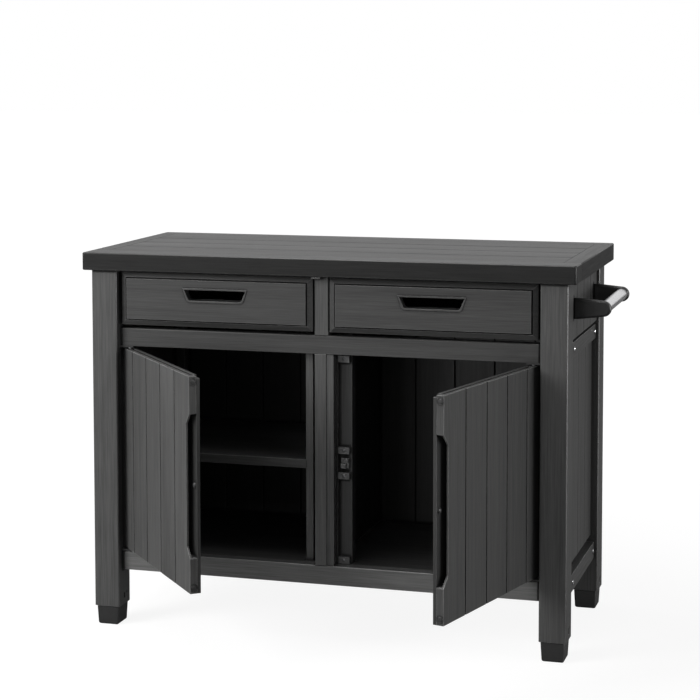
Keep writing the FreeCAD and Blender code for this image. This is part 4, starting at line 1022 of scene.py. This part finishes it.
class CART_OT_plugs(bpy.types.Operator):
    """Make the edge plugs and the stud of each door"""

    bl_idname = "cart.plugs"
    bl_label = "Door plugs"

    def execute(self, context):
        colour = toned(context.scene.cart_fittings.catch, tone=0.3)
        plastic = moulded("Plug plastic", colour, rough=0.4, depth=0.00005)
        for door, side in (("door_left", 1), ("door_right", -1)):
            turn = door_opening(door + "_hinge")
            along = (side * math.cos(turn), -math.sin(turn), 0)
            outward = (-side * math.sin(turn), -math.cos(turn), 0)
            low, middle, high = sorted(
                solids_of(door + "_screws"), key=lambda points: points[:, 2].mean(),
            )
            skins = []
            for points in (low, high):
                foot, radius, height = head_of(points, along)
                skins.append(turned_to(plug_skin(radius, height, radius), foot, along))
            foot, radius, height = head_of(middle, outward)
            skins.append(turned_to(stud_skin(radius, height), foot, outward))
            stand_for(door + "_screws", skins, door, plastic)
        return {"FINISHED"}


class CART_OT_hinges(bpy.types.Operator):
    """Finish the hinge pins, hinge plates, catches and striker"""

    bl_idname = "cart.hinges"
    bl_label = "Hinges and catches"

    def execute(self, context):
        settings = context.scene.cart_fittings
        metal = steel("Hinge steel", settings.steel, stretch=(700, 700, 700), rough=0.38)
        paint("door_left_pins", metal)
        paint("door_right_pins", metal)
        plastic = moulded("Catch plastic", settings.catch, rough=0.45, depth=0.00008)
        for node in ("catch_blocks", "latch_striker"):
            paint(node, plastic)
            round_edges(node, settings.catch_rounding, segments=3)
        colour = toned(settings.catch, tone=0.2)
        shaded = moulded("Hinge plastic", colour, rough=0.5, depth=0.00008)
        for node in ("hinge_brackets_left", "hinge_brackets_right"):
            paint(node, shaded)
            round_edges(node, settings.plate_rounding)
        return {"FINISHED"}


def arm_outline(root_low, root_high, root_flat, reach, radius, count):
    """Outline of a handle arm and its outward normals.

    A straight root edge, two straight flanks to the round end and half a
    circle round the bar. Each normal is the step between the neighbouring
    points, turned by a quarter.
    """
    arc = np.linspace(-math.pi / 2, math.pi / 2, count)
    end = np.stack([reach + radius * np.cos(arc), radius * np.sin(arc)], axis=-1)
    front = np.array([[0, root_low], [root_flat, root_low]])
    back = np.array([[root_flat, root_high], [0, root_high]])
    points = np.concatenate([front, end, back])
    step = np.roll(points, -1, axis=0) - np.roll(points, 1, axis=0)
    step /= np.linalg.norm(step, axis=1)[:, None]
    return points, np.stack([step[:, 1], -step[:, 0]], axis=-1)


def slab_skin(outline, normals, thickness, rounding, place):
    """Slab of an outline with quarter-round edges.

    Across the thickness the outline moves inwards by r - r cos(a) while the
    depth moves by r sin(a), a going from 90 degrees to 0 at each side.
    """
    turn = np.linspace(math.pi / 2, 0, ARM_RINGS)
    inset = rounding * (1 - np.cos(turn))
    depth = rounding * (1 - np.sin(turn))
    insets = np.concatenate([inset, inset[::-1]])
    depths = np.concatenate([depth, thickness - depth[::-1]])
    layers = outline[None, :, :] - normals[None, :, :] * insets[:, None, None]
    y = np.repeat(depths[:, None], len(outline), axis=1)
    rings = np.stack([layers[:, :, 0], y, layers[:, :, 1]], axis=-1) + place
    return capped(rings, rings[0].mean(axis=0), rings[-1].mean(axis=0))


class CART_OT_handle(bpy.types.Operator):
    """Make the handle's arms and its steel bar"""

    bl_idname = "cart.handle"
    bl_label = "Handle"

    def execute(self, context):
        settings = context.scene.cart_fittings
        bar_low, bar_high = (np.array(corner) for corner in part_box("handle_bar"))
        centre = (bar_low + bar_high) / 2
        radius = (bar_high[0] - bar_low[0]) / 2
        length = bar_high[1] - bar_low[1]
        rise = radius * BAR_LIP * BAR_END[:, 1]
        bar = lathe(
            radius * np.concatenate([BAR_END[:, 0], BAR_END[::-1, 0]]),
            np.concatenate([length - rise, rise[::-1]]),
            settings.segments * 2,
        )
        bar = turned_to(bar, (centre[0], bar_low[1], centre[2]), (0, 1, 0))
        brushed = steel("Bar steel", settings.bar, stretch=(900, 25, 900), rough=0.28)
        stand_for("handle_bar", [bar], "cabinet", brushed)

        plastic = moulded("Arm plastic", settings.arm, rough=0.42, depth=0.00008)
        for node in HANDLE_ARMS:
            low, high = (np.array(corner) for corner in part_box(node))
            outline, normals = arm_outline(
                low[2] - centre[2], high[2] - centre[2], ARM_ROOT,
                centre[0] - low[0], high[0] - centre[0], ARM_POINTS,
            )
            arm = slab_skin(
                outline, normals, high[1] - low[1], settings.arm_rounding,
                (low[0], low[1], centre[2]),
            )
            stand_for(node, [arm], "cabinet", plastic)
        return {"FINISHED"}


def add_lamp(name, place, target, width, height, power, lights=True):
    """A soft lamp. One that only shows in gloss draws the bright lines on edges."""
    lamp = bpy.data.lights.new(name, "AREA")
    lamp.shape = "RECTANGLE"
    lamp.size = width
    lamp.size_y = height
    lamp.energy = power
    item = add_object(name, lamp)
    item.location = place
    aim = Vector(target) - Vector(place)
    item.rotation_euler = aim.to_track_quat("-Z", "Y").to_euler()
    item.visible_diffuse = lights


def seen_directly(tree, mirrored):
    """1 for rays from the camera or through glass, and a share of it for mirrored ones."""
    path = add_node(tree, "LightPath").outputs
    plain = add_math(tree, "MAXIMUM", path["Is Camera Ray"], path["Is Transmission Ray"])
    glossy = add_math(tree, "MULTIPLY", path["Is Glossy Ray"], mirrored)
    return add_math(tree, "MAXIMUM", plain, glossy)


def grey(value):
    """An opaque grey."""
    return (value, value, value, 1)


class CART_OT_stage(bpy.types.Operator):
    """Make the floor, the white surround, the lamps and the camera"""

    bl_idname = "cart.stage"
    bl_label = "Stage"

    def execute(self, context):
        settings = context.scene.cart_stage
        self.make_floor(settings)
        self.make_world(settings)
        self.make_camera(settings)
        for name, place, target, width, height, power, share, lights in LAMPS:
            add_lamp(name, place, target, width, height, getattr(settings, power) * share, lights)
        context.scene.view_settings.view_transform = "Standard"
        return {"FINISHED"}

    def make_floor(self, settings):
        """A level square whose own brightness grows from the cart outwards.

        Where it is seen it is a dark grey that takes the shadow, plus its own
        brightness. Elsewhere it is a light grey that throws light on the cart.
        """
        half = FLOOR_HALF
        mesh = bpy.data.meshes.new("stage_floor")
        mesh.from_pydata(
            [(-half, -half, 0), (half, -half, 0), (half, half, 0), (-half, half, 0)], [],
            [(0, 1, 2, 3)],
        )
        floor = add_object("stage_floor", mesh)
        material = bpy.data.materials.new("Stage floor")
        material.use_nodes = True
        tree = material.node_tree
        tree.nodes.clear()
        reach = add_node(tree, "VectorMath", {0: object_place(tree)}, operation="LENGTH")
        shade = add_remap(
            tree, reach.outputs["Value"], settings.floor_near, settings.floor_far,
            settings.floor_shade,
        )
        strength = add_math(tree, "MULTIPLY", seen_directly(tree, settings.floor_mirrored), shade)
        glow = add_node(tree, "Emission", {"Strength": strength})
        seen = add_node(tree, "BsdfDiffuse", {"Color": grey(settings.floor_seen)})
        lit = add_node(tree, "BsdfDiffuse", {"Color": grey(settings.floor_lit)})
        both = add_node(tree, "AddShader", {0: seen.outputs[0], 1: glow.outputs[0]})
        chosen = add_node(tree, "MixShader", {
            0: seen_directly(tree, 1.0), 1: lit.outputs[0], 2: both.outputs[0],
        })
        add_node(tree, "OutputMaterial", {"Surface": chosen.outputs[0]})
        floor.data.materials.append(material)

    def make_world(self, settings):
        """White where it is seen or mirrored, and a dim even light on the cart."""
        world = bpy.data.worlds.new("Studio")
        bpy.context.scene.world = world
        world.use_nodes = True
        tree = world.node_tree
        strength = add_remap(tree, seen_directly(tree, 1.0), 0.0, 1.0, settings.ambient)
        feed(tree, tree.nodes["Background"], {"Color": grey(1), "Strength": strength})

    def make_camera(self, settings):
        """A camera turned by yaw about the upright, then by pitch, then by roll."""
        lens = bpy.data.cameras.new("Camera")
        lens.lens = settings.lens
        lens.sensor_width = SENSOR_WIDTH
        lens.shift_x = settings.shift_x
        lens.shift_y = settings.shift_y
        lens.clip_end = SEEN_WITHIN
        camera = add_object("Camera", lens)
        yaw, pitch, roll = settings.yaw, settings.pitch, settings.roll
        forward = Vector((
            math.sin(yaw) * math.cos(pitch), math.cos(yaw) * math.cos(pitch), math.sin(pitch),
        ))
        level = Vector((math.cos(yaw), -math.sin(yaw), 0))
        upright = level.cross(forward)
        right = level * math.cos(roll) + upright * math.sin(roll)
        up = upright * math.cos(roll) - level * math.sin(roll)
        turn = Matrix((right, up, -forward)).transposed()
        camera.matrix_world = Matrix.Translation(Vector(settings.eye)) @ turn.to_4x4()
        bpy.context.scene.camera = camera


class CART_PT_panel(bpy.types.Panel):
    """Steps of the cart's finish"""

    bl_idname = "CART_PT_panel"
    bl_label = "Grill Cart"
    bl_space_type = "VIEW_3D"
    bl_region_type = "UI"
    bl_category = "Grill Cart"

    def draw(self, context):
        """List a button for each step."""
        for step in STEPS:
            self.layout.operator(step.bl_idname)


STEPS = (
    CART_OT_textures, CART_OT_worktop, CART_OT_frame, CART_OT_inside, CART_OT_doors,
    CART_OT_drawers, CART_OT_feet, CART_OT_leg_plugs, CART_OT_screws, CART_OT_plugs,
    CART_OT_hinges, CART_OT_handle, CART_OT_stage,
)
SETTINGS = (
    ("cart_resin", ResinSettings),
    ("cart_fittings", FittingSettings),
    ("cart_stage", StageSettings),
)


def register():
    """Add the settings, the steps and the panel."""
    for name, settings in SETTINGS:
        bpy.utils.register_class(settings)
        setattr(bpy.types.Scene, name, PointerProperty(type=settings))
    for step in STEPS:
        bpy.utils.register_class(step)
    bpy.utils.register_class(CART_PT_panel)


def unregister():
    """Take them away again, in the reverse order."""
    bpy.utils.unregister_class(CART_PT_panel)
    for step in reversed(STEPS):
        bpy.utils.unregister_class(step)
    for name, settings in reversed(SETTINGS):
        delattr(bpy.types.Scene, name)
        bpy.utils.unregister_class(settings)


def main():
    """Run every step in order."""
    register()
    bpy.ops.cart.textures()
    bpy.ops.cart.worktop()
    bpy.ops.cart.frame()
    bpy.ops.cart.inside()
    bpy.ops.cart.doors()
    bpy.ops.cart.drawers()
    bpy.ops.cart.feet()
    bpy.ops.cart.leg_plugs()
    bpy.ops.cart.screws()
    bpy.ops.cart.plugs()
    bpy.ops.cart.hinges()
    bpy.ops.cart.handle()
    bpy.ops.cart.stage()


if __name__ == "__main__":
    main()
